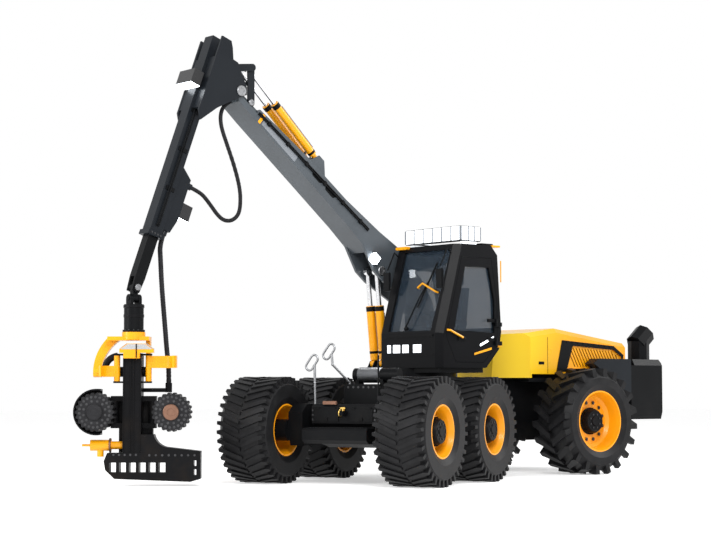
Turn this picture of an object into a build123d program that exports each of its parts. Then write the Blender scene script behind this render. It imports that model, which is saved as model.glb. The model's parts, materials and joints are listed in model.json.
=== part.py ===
"""Six-wheel forestry harvester with a slewing cab and crane, in millimetres.

Frame: +X the way the rear frame, cab and crane point, +Y to the left, +Z up from the ground.
The front frame is turned by STEER_ANGLE about the centre joint.
"""
import os
from math import asin, cos, degrees, hypot, pi, radians, sin, sqrt, tan
from build123d import *

os.makedirs("parts", exist_ok=True)

# Placing of the whole machine: the bogie centre, seen from the middle of the outline
BOGIE_X = 1217.15
BOGIE_Y = 225.16
STEER_ANGLE = 22.86

# Wheels
FRONT_TYRE_R = 745
FRONT_TYRE_W = 740
FRONT_RIM_R = 365
FRONT_HUB_FACE = 300
REAR_TYRE_R = 822
REAR_TYRE_W = 710
REAR_RIM_R = 470
REAR_HUB_FACE = 205
BOGIE_BASE = 1738
FRONT_TRACK = 2408
REAR_TRACK = 2402
TYRE_SHOULDER = 90
BEAD_IN = 40
BEAD_H = 90
LUG_ROOT = 100
LUG_IN = 12
RIM_FIT = 0.3
RIM_WALL = 22
RIM_LIP_IN = 40
RIM_WELL = 70
RIM_STEP = 45
RIM_DISC_IN = 60
RIM_DISC_T = 25
HUB_R = 180
HUB_FIT = 0.5
SPINDLE_R = 150

# Front frame, measured forward from the bogie centre
HINGE_BACK = 2470
FRAME_HALF_W = 420
FRAME_LOW = 560
FRAME_TOP = 1060
FRAME_NOSE = 700
CASE_W = 222
CASE_IN = 600
CASE_LOW = 530
CASE_TOP = 1110
CASE_END = 45
AXLE_R = 170
BOX_FRONT = 820
BOX_HALF_W = 500
BOX_LOW = 800
BOX_TOP = 1107
SHELF_FRONT = 1100
SHELF_LOW = 565
SHELF_TOP = 780
HOOK_Z = 980
HOOK_R = 50
HOOK_BORE_R = 26
HOOK_W = 60
DECK_BOX_FRONT = 300
DECK_BOX_BACK = -130
DECK_BOX_HALF_W = 270
DECK_BOX_TOP = 1384
DRUM_R = 100
DRUM_Z = 1512
DRUM_ENDS = (-245, 460)
RAIL_R = 15
RAIL_LOOP_R = 55
RAIL_LOOP_H = 130
RAIL_TILT = 36
SLEW_BACK = 1575
SLEW_R = 520
SLEW_TOP = 1470
HINGE_R = 110
HINGE_PIN_R = 60
HINGE_FIT = 2
EAR_T = 80
EAR_R = 180
TONGUE_HALF = 130

# Rear frame, measured back from the hinge
REAR_AXLE_BACK = 1870
REAR_AXLE_R = 220
REAR_HALF_W = 400
REAR_LOW = 520
REAR_TOP = 1440
REAR_FRONT = 420
REAR_END = 3290
SILL_HALF_W = 720
HOOD_HALF_W = 760
HOOD_NOSE_HALF_W = 380
HOOD_LOW = 1490
HOOD_STEP = 60
HOOD_STEP_BACK = 1150
HOOD_WALL = 40
HOOD_FRONT = 640
HOOD_CORNER_BACK = 1120
HOOD_PEAK_BACK = 1700
HOOD_FRONT_TOP = 2165
HOOD_PEAK = 2270
HOOD_END_TOP = 2060
HOOD_CHAMFER = 70
GRILLE_T = 14
GRILLE_FIT = 0.3
BEZEL_T = 8
SLOT_COUNT = 17
SLOT_W = 26
SLOT_PITCH = 66
SLOT_LEAN = 210
ENGINE_SPAN = (-2540, -1090)
ENGINE_HALF_W = 380
ENGINE_H = 560
WEIGHT_HALF_W = 960
WEIGHT_LOW = 830
WEIGHT_TOP = 1800
WEIGHT_END = 3960
WEIGHT_CHAMFER = 100
CHEEK_FRONT = 3210
CHEEK_IN = 800
HITCH_R = 25
HITCH_Z = 1030
HITCH_T = 60
EXHAUST_BACK = 3660
EXHAUST_Y = 720
EXHAUST_R = 175
EXHAUST_WALL = 14
EXHAUST_H = 300
EXHAUST_BEND = 50
FENDER_FIT = 2

# Slewing platform and cab, measured from the slew centre
SLEW_FIT = 0.5
DECK_LOW = SLEW_TOP + SLEW_FIT
DECK_TOP = 1625
DECK_T = 70
CAB_RIGHT = -300
CAB_LEFT = 985
CAB_WALL = 70
CAB_GAP = 5
CAB_LOW = DECK_TOP
CAB_BELT = 2135
CAB_TOP = 3440
CAB_NOSE = 480
CAB_BROW = 117
CAB_TAIL = -765
CAB_CORNER = 90
GLASS_T = 12
SILL_Z = 2165
HEADER_Z = 3360
PILLAR_RIGHT = 150
PILLAR_LEFT = 130
DOOR_AXIS_X = -640
DOOR_AXIS_Y = CAB_LEFT + 25
DOOR_HINGES = (1960, 2240)
HINGE_H = 60
HINGE_KNUCKLE_R = 20
HINGE_ROD_R = 9
LIGHT_BAR_FRONT = 20
LIGHT_BAR_D = 120
LIGHT_BAR_BACK = -390
LIGHT_BAR_SPAN = (-280, 950)
LIGHT_BAR_Z = (3500, 3700)
NOSE_LAMP_T = 12
NOSE_LAMP_Z = (1845, 1965)

# Crane, in its own upright plane
CRANE_Y = -690
BOOM_ANGLE = 39.7
BOOM_FOOT_X = -590
BOOM_FOOT_Z = 2580
BOOM_LENGTH = 4660
BOOM_HALF_W = 225
BOOM_END_HALF_W = 150
BOOM_END_L = 430
BOOM_UNDER = 115
BOOM_OVER = 165
BOOM_END_OVER = 65
BOOM_SILL = -15
BOOM_CHEEK_T = 45
BOOM_FOOT_PIN_R = 55
CHANNEL_END = 1560
CHEEK_TOP = 300
LIFT_BASE_X = 190
LIFT_BASE_Z = 1705
LIFT_PIN_ALONG = 1040
LIFT_PIN_BELOW = -190
LIFT_SPREAD = 105
LIFT_BARREL_R = 66
LIFT_ROD_R = 36
LIFT_BARREL_L = 880
LIFT_ROD_L = 900
RAM_PIN_R = 30
RAM_EYE_R = 60
RAM_EYE_HALF = 40
RAM_EAR_IN = 42
RAM_EAR_T = 20
STICK_ANGLE = -69.8
STICK_BACK = 511
STICK_LENGTH = 2470
STICK_OVER = 610
STICK_W = 200
STICK_D = 210
STICK_COLLAR = 70
STICK_COLLAR_T = 22
BORE_START = 140
EXT_W = 150
EXT_D = 160
EXT_OUT = 760
EXT_IN = 2100
EXT_FIT = 0.3
PLATE_IN = 245
PLATE_T = 35
ELBOW_PIN_R = 50
ELBOW_BOSS_R = 95
GUIDE_HALF_W = 60
GUIDE_D = 195
GUIDE_END = 2310
GUIDE_GLAND = 1560
HEAD_HOSE_BACK = 178
LAMP_D = 165
HOSE_D = 60
HEAD_HOSE_D = 72
GLAND_R = 46
HOSE_Y = 100
GUIDE_HOSE_Y = 10
GLAND_L = 60

# Elbow linkage: rocker and stick cylinder feet are measured back from the elbow pin
ROCKER_BACK = 270
ROCKER_ABOVE = 50
ROCKER_RUN = (326, 388)
ROCKER_IN = 165
ROCKER_T = 25
ROCKER_R = 58
ROCKER_PIN_R = 35
LINK_IN = 205
LINK_R = 52
PIN_FIT = 0.3
LEVER_X = 150
LEVER_Z = 325
STICK_PIN_BACK = 1723
STICK_PIN_ABOVE = 305
STICK_BARREL_L = 1120
STICK_BARREL_R = 58
STICK_NECK_R = 38
STICK_ROD_R = 33
STICK_ROD_L = 1020

# Harvesting head, in its own frame with +X to its right, -Y to the stem and its own floor at zero
HEAD_YAW = 140.6
HEAD_HANG = 2702
CROSS_DROP = 150
CROSS_PIN_R = 28
TIP_PIN_R = 30
ROTATOR_R = 135
ROTATOR_LOW = 2090
ROTATOR_FIT = 0.5
FRAME_PIN_Z = 1550
FRAME_PIN_R = 40
TILT_Y = 100
TILT_HALF = 70
TILT_BOSS_R = 75
TILT_LEFT = -445
TILT_RIGHT = 165
TILT_PLATE_T = 55
COLUMN_HALF = 125
COLUMN_BACK = 160
CARRIER_T = 40
COLUMN_FACE = -140
COLUMN_TOP = 1800
COVER_T = 95
SAW_TOP = 450
SAW_FRONT = -150
SAW_BACK = 70
SAW_END = 935
SAW_LOW = 60
SLIT_COUNT = 6
SLIT_W = 92
SLIT_PITCH = 134
SLIT_START = -300
SLIT_Z = (185, 320)
KNIFE_X = 215
KNIFE_Y = -60
KNIFE_HUB_R = 42
KNIFE_HUB_Z = (1420, 1770)
KNIFE_PIN_R = 25
KNIFE_EAR = 25
ARM_X = 265
ARM_Y = 75
ARM_TUBE_R = 62
ARM_PIN_R = 30
ARM_EAR_T = 70
ARM_Z = (780, 1220)
ARM_H = 220
ARM_END = 60
ROLLER_Z = 1003
ROLLER_R = 262
ROLLER_L = 330
ROLLER_TEETH = 22
TOOTH_H = 26
ROLLER_GAP = 0.5
MOTOR_R = 90
SHROUD_R = 315
SHROUD_T = 22
SHROUD_DEPTH = 190
SOCKET_X = 470
SOCKET_Y = 140
SOCKET_Z = (1270, 1400)

# Places of the turned front frame, the hinge, the slew ring and the crane plane
turn = radians(STEER_ANGLE)
front_pose = Location((BOGIE_X, BOGIE_Y, 0), (0, 0, STEER_ANGLE))
hinge_x = BOGIE_X - HINGE_BACK * cos(turn)
hinge_y = BOGIE_Y - HINGE_BACK * sin(turn)
rear_pose = Location((hinge_x, hinge_y, 0))
slew_x = BOGIE_X - SLEW_BACK * cos(turn)
slew_y = BOGIE_Y - SLEW_BACK * sin(turn)
slew_pose = Location((slew_x, slew_y, 0))
crane_pose = Location((slew_x, slew_y + CRANE_Y, 0))
boom_dir = (cos(radians(BOOM_ANGLE)), sin(radians(BOOM_ANGLE)))
stick_dir = (cos(radians(STICK_ANGLE)), sin(radians(STICK_ANGLE)))
hinge_mid = (FRAME_LOW + FRAME_TOP) / 2
OVERLAP = 10


def finish(piece, name, pose):
    """Move a piece to its place, name it and write it out."""
    shape = piece.part.moved(pose)
    shape.label = name
    export_step(shape, f"parts/{name}.step")


def outline_of(points, plane):
    """Draw a closed outline of straight edges and return it as a sketch."""
    with BuildSketch(plane) as outline:
        with BuildLine():
            Polyline(*points, close=True)
        make_face()
    return outline.sketch


def slab_y(points, low, high, mode=Mode.ADD):
    """Extrude an (x, z) outline across Y from low to high."""
    extrude(outline_of(points, Plane.XZ.offset(-high)), amount=high - low, mode=mode)


def slab_z(points, low, high, mode=Mode.ADD):
    """Extrude an (x, y) outline up from low to high."""
    extrude(outline_of(points, Plane.XY.offset(low)), amount=high - low, mode=mode)


def slab_x(points, low, high, mode=Mode.ADD):
    """Extrude a (y, z) outline along X from low to high."""
    extrude(outline_of(points, Plane.YZ.offset(low)), amount=high - low, mode=mode)


def block(x_span, y_span, z_span, mode=Mode.ADD):
    """Add a box between two limits on each axis."""
    spans = (x_span, y_span, z_span)
    with Locations(tuple((span[0] + span[1]) / 2 for span in spans)):
        Box(*[abs(span[1] - span[0]) for span in spans], mode=mode)


def bar(start, end, radius, mode=Mode.ADD):
    """Add a round bar from one point to another."""
    first = Vector(*start)
    last = Vector(*end)
    middle = (first + last) / 2
    with Locations(Plane(origin=middle, z_dir=last - first).location):
        Cylinder(radius, (last - first).length, mode=mode)


def cross_bar(place, half, radius, mode=Mode.ADD, middle=0):
    """Add a round bar across the crane's plane at an (x, z) place."""
    bar((place[0], middle - half, place[1]), (place[0], middle + half, place[1]), radius, mode)


def run_bar(first, last, across, radius, mode=Mode.ADD):
    """Add a round bar between two (x, z) places at one distance across."""
    bar((first[0], across, first[1]), (last[0], across, last[1]), radius, mode)


def arm_plate(first, last, radius, low, high):
    """Add a flat arm with round ends between two pins."""
    span = hypot(last[0] - first[0], last[1] - first[1])
    across = ((last[1] - first[1]) / span * radius, (first[0] - last[0]) / span * radius)
    slab_y(
        (
            (first[0] + across[0], first[1] + across[1]),
            (last[0] + across[0], last[1] + across[1]),
            (last[0] - across[0], last[1] - across[1]),
            (first[0] - across[0], first[1] - across[1]),
        ),
        low,
        high,
    )
    for end in (first, last):
        bar((end[0], low, end[1]), (end[0], high, end[1]), radius)


def on_boom(along, above=0):
    """Give the (x, z) place of a point measured along and above the main boom's axis."""
    return (
        BOOM_FOOT_X + along * boom_dir[0] - above * boom_dir[1],
        BOOM_FOOT_Z + along * boom_dir[1] + above * boom_dir[0],
    )


elbow = on_boom(BOOM_LENGTH)
stick_top = (elbow[0] - STICK_BACK * stick_dir[1], elbow[1] + STICK_BACK * stick_dir[0])
lever_pin = (elbow[0] + LEVER_X, elbow[1] + LEVER_Z)


def on_stick(along, ahead=0):
    """Give the (x, z) place of a point measured down and ahead of the stick's axis."""
    return (
        stick_top[0] + along * stick_dir[0] - ahead * stick_dir[1],
        stick_top[1] + along * stick_dir[1] + ahead * stick_dir[0],
    )


def on_run(first, last, along):
    """Give the (x, z) place at a distance from one pin toward another."""
    share = along / hypot(last[0] - first[0], last[1] - first[1])
    return (first[0] + (last[0] - first[0]) * share, first[1] + (last[1] - first[1]) * share)


def tyre_of(tyre_r, tyre_w, rim_r, lugs, lug_h, lug_w, sweep, middle):
    """Build a tyre about the Y axis with flat-topped lugs swept back from the middle of the tread."""
    half_w = tyre_w / 2
    carcass_r = tyre_r - lug_h
    corner = sweep + lug_w / 2
    root_r = carcass_r - LUG_ROOT
    turn_in = degrees(asin(corner / tyre_r))
    with BuildPart() as tyre:
        with BuildSketch(Plane.YZ):
            with BuildLine():
                Polyline(
                    (-half_w + BEAD_IN, rim_r),
                    (-half_w, rim_r + BEAD_H),
                    (-half_w, carcass_r - TYRE_SHOULDER),
                    (-half_w + TYRE_SHOULDER, carcass_r),
                    (half_w - TYRE_SHOULDER, carcass_r),
                    (half_w, carcass_r - TYRE_SHOULDER),
                    (half_w, rim_r + BEAD_H),
                    (half_w - BEAD_IN, rim_r),
                    close=True,
                )
            make_face()
        revolve(axis=Axis.Y)
        for side in (-1, 1):
            end = side * (half_w - LUG_IN)
            bend = side * (half_w - TYRE_SHOULDER)
            with BuildPart() as lug:
                slab_z(
                    (
                        (sweep - lug_w / 2, side * middle),
                        (corner, side * middle),
                        (lug_w - sweep, bend),
                        (lug_w / 2 - sweep, end),
                        (-corner, end),
                        (-corner, bend),
                    ),
                    root_r,
                    sqrt(tyre_r**2 - corner**2),
                )
            first = 180 + turn_in + (90 / lugs) * (side + 1)
            add([Location((0, 0, 0), (0, first + step * 360 / lugs, 0)) * lug.part for step in range(lugs)])
    return tyre


def rim_of(tyre_w, rim_r, hub_face):
    """Build a dished rim about the Y axis with its hub drum on the outer side."""
    half_w = tyre_w / 2
    lip = half_w - RIM_LIP_IN
    barrel_r = rim_r - RIM_FIT
    disc_out = RIM_DISC_IN + RIM_DISC_T
    with BuildPart() as rim:
        with BuildSketch(Plane.YZ):
            with BuildLine():
                Polyline(
                    (-lip, barrel_r),
                    (lip, barrel_r),
                    (lip, barrel_r - RIM_WALL),
                    (lip - RIM_WELL, barrel_r - RIM_STEP),
                    (disc_out + RIM_STEP, barrel_r - RIM_WELL),
                    (disc_out, barrel_r - RIM_WELL - RIM_STEP),
                    (disc_out, HUB_R),
                    (hub_face - RIM_STEP, HUB_R),
                    (hub_face, HUB_R - RIM_WALL),
                    (hub_face, 0),
                    (0, 0),
                    (0, HUB_R),
                    (RIM_DISC_IN, HUB_R),
                    (RIM_DISC_IN, barrel_r - RIM_WELL),
                    (-lip + RIM_WELL, barrel_r - RIM_STEP),
                    (-lip, barrel_r - RIM_WALL),
                    close=True,
                )
            make_face()
        revolve(axis=Axis.Y)
    return rim


# Tread of each kind: lugs on each side, lug height, lug width, half sweep, first step out from the middle
front_tyre = tyre_of(FRONT_TYRE_R, FRONT_TYRE_W, FRONT_RIM_R, 36, 24, 46, 60, 12)
rear_tyre = tyre_of(REAR_TYRE_R, REAR_TYRE_W, REAR_RIM_R, 20, 62, 80, 96, 6)
front_rim = rim_of(FRONT_TYRE_W, FRONT_RIM_R, FRONT_HUB_FACE)
rear_rim = rim_of(REAR_TYRE_W, REAR_RIM_R, REAR_HUB_FACE)

# Wheels: the frame they stand in, place along and across it, height, tyre and rim
half_base = BOGIE_BASE / 2
half_track = FRONT_TRACK / 2
rear_half = REAR_TRACK / 2
wheels = {
    "front_left": (front_pose, half_base, half_track, FRONT_TYRE_R, front_tyre, front_rim),
    "front_right": (front_pose, half_base, -half_track, FRONT_TYRE_R, front_tyre, front_rim),
    "middle_left": (front_pose, -half_base, half_track, FRONT_TYRE_R, front_tyre, front_rim),
    "middle_right": (front_pose, -half_base, -half_track, FRONT_TYRE_R, front_tyre, front_rim),
    "rear_left": (rear_pose, -REAR_AXLE_BACK, rear_half, REAR_TYRE_R, rear_tyre, rear_rim),
    "rear_right": (rear_pose, -REAR_AXLE_BACK, -rear_half, REAR_TYRE_R, rear_tyre, rear_rim),
}
for name, (pose, along, across, height, tyre, rim) in wheels.items():
    finish(tyre, f"tyre_{name}", pose * Location((along, across, height)))
    finish(rim, f"rim_{name}", pose * Location((along, across, height), (0, 0, 0 if across > 0 else 180)))

# Front frame: beam, slew pedestal and the two hinge ears
ear_root = -HINGE_BACK + EAR_R + 150
with BuildPart() as front_frame:
    slab_y(
        (
            (ear_root, FRAME_LOW),
            (FRAME_NOSE - 250, FRAME_LOW - 60),
            (FRAME_NOSE, FRAME_LOW),
            (FRAME_NOSE, FRAME_TOP - 60),
            (FRAME_NOSE - 300, FRAME_TOP),
            (ear_root, FRAME_TOP),
        ),
        -FRAME_HALF_W,
        FRAME_HALF_W,
    )
    with Locations((-SLEW_BACK, 0, (FRAME_TOP + SLEW_TOP) / 2)):
        Cylinder(SLEW_R, SLEW_TOP - FRAME_TOP)
    for low in (hinge_mid - TONGUE_HALF - HINGE_FIT - EAR_T, hinge_mid + TONGUE_HALF + HINGE_FIT):
        block((-HINGE_BACK, ear_root + OVERLAP), (-EAR_R, EAR_R), (low, low + EAR_T))
        with Locations((-HINGE_BACK, 0, low + EAR_T / 2)):
            Cylinder(EAR_R, EAR_T)
    with Locations((-HINGE_BACK, 0, hinge_mid)):
        Cylinder(HINGE_PIN_R, 2 * (TONGUE_HALF + HINGE_FIT + EAR_T))
finish(front_frame, "front_frame", front_pose)

# Bogies: a gear case on each side with its cross axle and four hub spindles
case_nose = half_base + CASE_END
with BuildPart() as bogies:
    for side in (-1, 1):
        inner = side * CASE_IN
        outer = side * (CASE_IN + CASE_W)
        slab_y(
            (
                (-case_nose, FRONT_TYRE_R),
                (-case_nose + 60, CASE_LOW),
                (case_nose - 60, CASE_LOW),
                (case_nose, FRONT_TYRE_R),
                (case_nose, CASE_TOP - 120),
                (case_nose - 140, CASE_TOP),
                (-case_nose + 140, CASE_TOP),
                (-case_nose, CASE_TOP - 120),
            ),
            min(inner, outer),
            max(inner, outer),
        )
        for along in (-half_base, half_base):
            spindle_end = side * (half_track - HUB_FIT)
            bar((along, outer, FRONT_TYRE_R), (along, spindle_end, FRONT_TYRE_R), SPINDLE_R)
        bar((0, side * FRAME_HALF_W, FRONT_TYRE_R), (0, inner, FRONT_TYRE_R), AXLE_R)
finish(bogies, "bogies", front_pose)

# Front tool box over a deeper step, with the tow eye on its face
with BuildPart() as front_box:
    slab_y(
        (
            (FRAME_NOSE, BOX_LOW),
            (BOX_FRONT - 40, BOX_LOW),
            (BOX_FRONT, BOX_LOW + 40),
            (BOX_FRONT, BOX_TOP - 40),
            (BOX_FRONT - 40, BOX_TOP),
            (FRAME_NOSE, BOX_TOP),
        ),
        -BOX_HALF_W,
        BOX_HALF_W,
    )
    slab_y(
        (
            (FRAME_NOSE, SHELF_LOW),
            (SHELF_FRONT - 70, SHELF_LOW),
            (SHELF_FRONT, SHELF_LOW + 50),
            (SHELF_FRONT, SHELF_TOP - 30),
            (SHELF_FRONT - 30, SHELF_TOP),
            (FRAME_NOSE, SHELF_TOP),
        ),
        -BOX_HALF_W,
        BOX_HALF_W,
    )
    block(
        (FRAME_NOSE, BOX_FRONT - 60),
        (-BOX_HALF_W + 60, BOX_HALF_W - 60),
        (SHELF_TOP - OVERLAP, BOX_LOW + OVERLAP),
    )
    hook_x = BOX_FRONT + HOOK_R + OVERLAP
    block((BOX_FRONT - OVERLAP, hook_x), (-HOOK_R, HOOK_R), (HOOK_Z - HOOK_W / 2, HOOK_Z + HOOK_W / 2))
    with Locations((hook_x, 0, HOOK_Z)):
        Cylinder(HOOK_R, HOOK_W)
        Cylinder(HOOK_BORE_R, HOOK_W, mode=Mode.SUBTRACT)
finish(front_box, "front_box", front_pose)

# Valve box on the frame, with the winch drum on two saddles
with BuildPart() as front_deck:
    block(
        (DECK_BOX_BACK, DECK_BOX_FRONT),
        (-DECK_BOX_HALF_W, DECK_BOX_HALF_W),
        (FRAME_TOP, DECK_BOX_TOP),
    )
    bar((0, DRUM_ENDS[0], DRUM_Z), (0, DRUM_ENDS[1], DRUM_Z), DRUM_R)
    for across in (DRUM_ENDS[0] + 70, DECK_BOX_HALF_W - 60):
        block((-80, 80), (across - 25, across + 25), (DECK_BOX_TOP - OVERLAP, DRUM_Z - 30))
finish(front_deck, "front_deck", front_pose)

# Grab rails: foot, bend and top of each stem, with a leaning loop on its right side
rails = (
    ((760, -480, BOX_TOP), (760, -485, 1400), (760, -490, 1650)),
    ((210, -224, DECK_BOX_TOP), (420, -390, 1660), (420, -405, 1810)),
)
lean = radians(RAIL_TILT)
rise = Vector(0, sin(lean), cos(lean))
reach = RAIL_LOOP_H / 2 + RAIL_LOOP_R
with BuildPart() as front_rails:
    for foot, bend, stem_top in rails:
        middle = Vector(*stem_top) + rise.cross(Vector(-1, 0, 0)) * RAIL_LOOP_R
        loop_plane = Plane(origin=middle, x_dir=rise.cross(Vector(1, 0, 0)), z_dir=(1, 0, 0))
        half_h = RAIL_LOOP_H / 2
        with BuildLine(loop_plane) as loop:
            Line((RAIL_LOOP_R, -half_h), (RAIL_LOOP_R, half_h))
            ThreePointArc((RAIL_LOOP_R, half_h), (0, reach), (-RAIL_LOOP_R, half_h))
            Line((-RAIL_LOOP_R, half_h), (-RAIL_LOOP_R, -half_h))
            ThreePointArc((-RAIL_LOOP_R, -half_h), (0, -reach), (RAIL_LOOP_R, -half_h))
        start = loop.wires()[0].position_at(0)
        with BuildSketch(Plane(origin=start, z_dir=loop.wires()[0].tangent_at(0))) as section:
            Circle(RAIL_R)
        sweep(section.sketch, path=loop.wires()[0])
        heel = (foot[0], foot[1], foot[2] + 2 * OVERLAP)
        bar(foot, heel, RAIL_R + 2)
        bar(heel, bend, RAIL_R + 2)
        bar(bend, stem_top, RAIL_R + 3)
        with Locations(bend):
            Sphere(RAIL_R + 5)
finish(front_rails, "front_rails", front_pose)

# Rear frame with the hinge tongue and the sill that carries the hood
with BuildPart() as rear_frame:
    slab_y(
        (
            (-REAR_FRONT, hinge_mid - TONGUE_HALF),
            (-REAR_FRONT - 250, REAR_LOW),
            (-REAR_END + 150, REAR_LOW),
            (-REAR_END, REAR_LOW + 200),
            (-REAR_END, REAR_TOP),
            (-REAR_FRONT - 250, REAR_TOP),
            (-REAR_FRONT, hinge_mid + TONGUE_HALF),
        ),
        -REAR_HALF_W,
        REAR_HALF_W,
    )
    block((-REAR_END, -HOOD_CORNER_BACK), (-SILL_HALF_W, SILL_HALF_W), (REAR_TOP - OVERLAP, HOOD_LOW))
    block(
        (-HOOD_CORNER_BACK - OVERLAP, -HOOD_FRONT - 60),
        (-HOOD_NOSE_HALF_W, HOOD_NOSE_HALF_W),
        (REAR_TOP - OVERLAP, HOOD_LOW),
    )
    tongue_span = (hinge_mid - TONGUE_HALF, hinge_mid + TONGUE_HALF)
    block((-REAR_FRONT - 20, 0), (-HINGE_R, HINGE_R), tongue_span)
    with Locations((0, 0, hinge_mid)):
        Cylinder(HINGE_R + 40, 2 * TONGUE_HALF)
        Cylinder(HINGE_PIN_R + PIN_FIT, 2 * TONGUE_HALF, mode=Mode.SUBTRACT)
finish(rear_frame, "rear_frame", rear_pose)

tyre_side = rear_half - REAR_TYRE_W / 2
with BuildPart() as rear_axle:
    for side in (-1, 1):
        for start, end, radius in (
            (REAR_HALF_W, tyre_side, REAR_AXLE_R),
            (tyre_side - OVERLAP, rear_half - HUB_FIT, SPINDLE_R),
        ):
            bar(
                (-REAR_AXLE_BACK, side * start, REAR_TYRE_R),
                (-REAR_AXLE_BACK, side * end, REAR_TYRE_R),
                radius,
            )
finish(rear_axle, "rear_axle", rear_pose)

# Hood: a shell over the engine with slanted front corners, a stepped lower edge and grille windows
hood_side = (
    (-HOOD_FRONT, HOOD_LOW),
    (-HOOD_FRONT - 40, HOOD_FRONT_TOP - 40),
    (-HOOD_FRONT - 110, HOOD_FRONT_TOP),
    (-HOOD_CORNER_BACK, HOOD_FRONT_TOP + 25),
    (-HOOD_PEAK_BACK, HOOD_PEAK),
    (-REAR_END, HOOD_END_TOP),
    (-REAR_END, HOOD_LOW),
)
hood_plan = (
    (-HOOD_FRONT + OVERLAP, HOOD_NOSE_HALF_W),
    (-HOOD_CORNER_BACK, HOOD_HALF_W),
    (-REAR_END - OVERLAP, HOOD_HALF_W),
    (-REAR_END - OVERLAP, -HOOD_HALF_W),
    (-HOOD_CORNER_BACK, -HOOD_HALF_W),
    (-HOOD_FRONT + OVERLAP, -HOOD_NOSE_HALF_W),
)
grille_window = ((-2060, 2000), (-2990, 1950), (-3190, 1840), (-3150, 1640), (-1930, 1640))
bezel_outer = ((-1820, 2086), (-3010, 2010), (-3240, 1870), (-3200, 1590), (-1690, 1590))
hollow_side = (
    (-HOOD_FRONT - HOOD_WALL, HOOD_LOW - OVERLAP),
    (-HOOD_FRONT - 2 * HOOD_WALL, HOOD_FRONT_TOP - 2 * HOOD_WALL),
    (-HOOD_FRONT - 110, HOOD_FRONT_TOP - HOOD_WALL),
    (-HOOD_CORNER_BACK, HOOD_FRONT_TOP + 25 - HOOD_WALL),
    (-HOOD_PEAK_BACK, HOOD_PEAK - HOOD_WALL),
    (-REAR_END + HOOD_WALL, HOOD_END_TOP - HOOD_WALL),
    (-REAR_END + HOOD_WALL, HOOD_LOW - OVERLAP),
)
with BuildPart() as hood_hollow:
    slab_y(hollow_side, HOOD_WALL - HOOD_HALF_W, HOOD_HALF_W - HOOD_WALL)
    corner_cut = [(-HOOD_CORNER_BACK, HOOD_HALF_W - HOOD_WALL), (-HOOD_FRONT, HOOD_HALF_W)]
    corner_cut.append((-HOOD_FRONT, HOOD_NOSE_HALF_W - HOOD_WALL))
    slab_z(corner_cut, HOOD_LOW - OVERLAP, HOOD_PEAK, mode=Mode.SUBTRACT)
    slab_z([(x, -y) for x, y in corner_cut], HOOD_LOW - OVERLAP, HOOD_PEAK, mode=Mode.SUBTRACT)
with BuildPart() as hood:
    slab_y(hood_side, -HOOD_HALF_W, HOOD_HALF_W)
    slab_z(hood_plan, HOOD_LOW, HOOD_PEAK + OVERLAP, mode=Mode.INTERSECT)
    side_faces = hood.faces().filter_by(Axis.Y)
    chamfer(side_faces.edges().filter_by(lambda edge: edge.center().Z > HOOD_END_TOP), HOOD_CHAMFER)
    add(hood_hollow.part, mode=Mode.SUBTRACT)
    slab_y(grille_window, -HOOD_HALF_W - OVERLAP, HOOD_HALF_W + OVERLAP, mode=Mode.SUBTRACT)
    for side in (-1, 1):
        step_span = sorted((side * SILL_HALF_W, side * (HOOD_HALF_W + OVERLAP)))
        block((-REAR_END, -HOOD_STEP_BACK), step_span, (HOOD_LOW, HOOD_LOW + HOOD_STEP), mode=Mode.SUBTRACT)
finish(hood, "hood", rear_pose)

# Grille panels with leaning slots, and the dark bezel round each of them
with BuildPart() as hood_grille:
    panel_face = HOOD_HALF_W - HOOD_WALL / 2
    with BuildSketch(Plane.XZ.offset(-panel_face)) as panel:
        with BuildLine():
            Polyline(*grille_window, close=True)
        make_face()
        offset(amount=-GRILLE_FIT, kind=Kind.INTERSECTION)
        with BuildSketch(mode=Mode.PRIVATE) as slots:
            for step in range(SLOT_COUNT):
                start = -1930 - step * SLOT_PITCH
                with BuildLine():
                    Polyline(
                        (start, 2000),
                        (start - SLOT_W, 2000),
                        (start - SLOT_W - SLOT_LEAN, 1640),
                        (start - SLOT_LEAN, 1640),
                        close=True,
                    )
                make_face()
        with BuildSketch(mode=Mode.PRIVATE) as bounds:
            with BuildLine():
                Polyline(*grille_window, close=True)
            make_face()
            offset(amount=-GRILLE_T * 2, kind=Kind.INTERSECTION)
            add(slots.sketch, mode=Mode.INTERSECT)
        add(bounds.sketch, mode=Mode.SUBTRACT)
    extrude(panel.sketch, amount=GRILLE_T)
    mirror(about=Plane.XZ)
finish(hood_grille, "hood_grille", rear_pose)

with BuildPart() as hood_bezel:
    slab_y(bezel_outer, HOOD_HALF_W, HOOD_HALF_W + BEZEL_T)
    slab_y(grille_window, HOOD_HALF_W - OVERLAP, HOOD_HALF_W + BEZEL_T + OVERLAP, mode=Mode.SUBTRACT)
    mirror(about=Plane.XZ)
finish(hood_bezel, "hood_bezel", rear_pose)

with BuildPart() as engine:
    block(ENGINE_SPAN, (-ENGINE_HALF_W, ENGINE_HALF_W), (HOOD_LOW, HOOD_LOW + ENGINE_H))
finish(engine, "engine", rear_pose)

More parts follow.
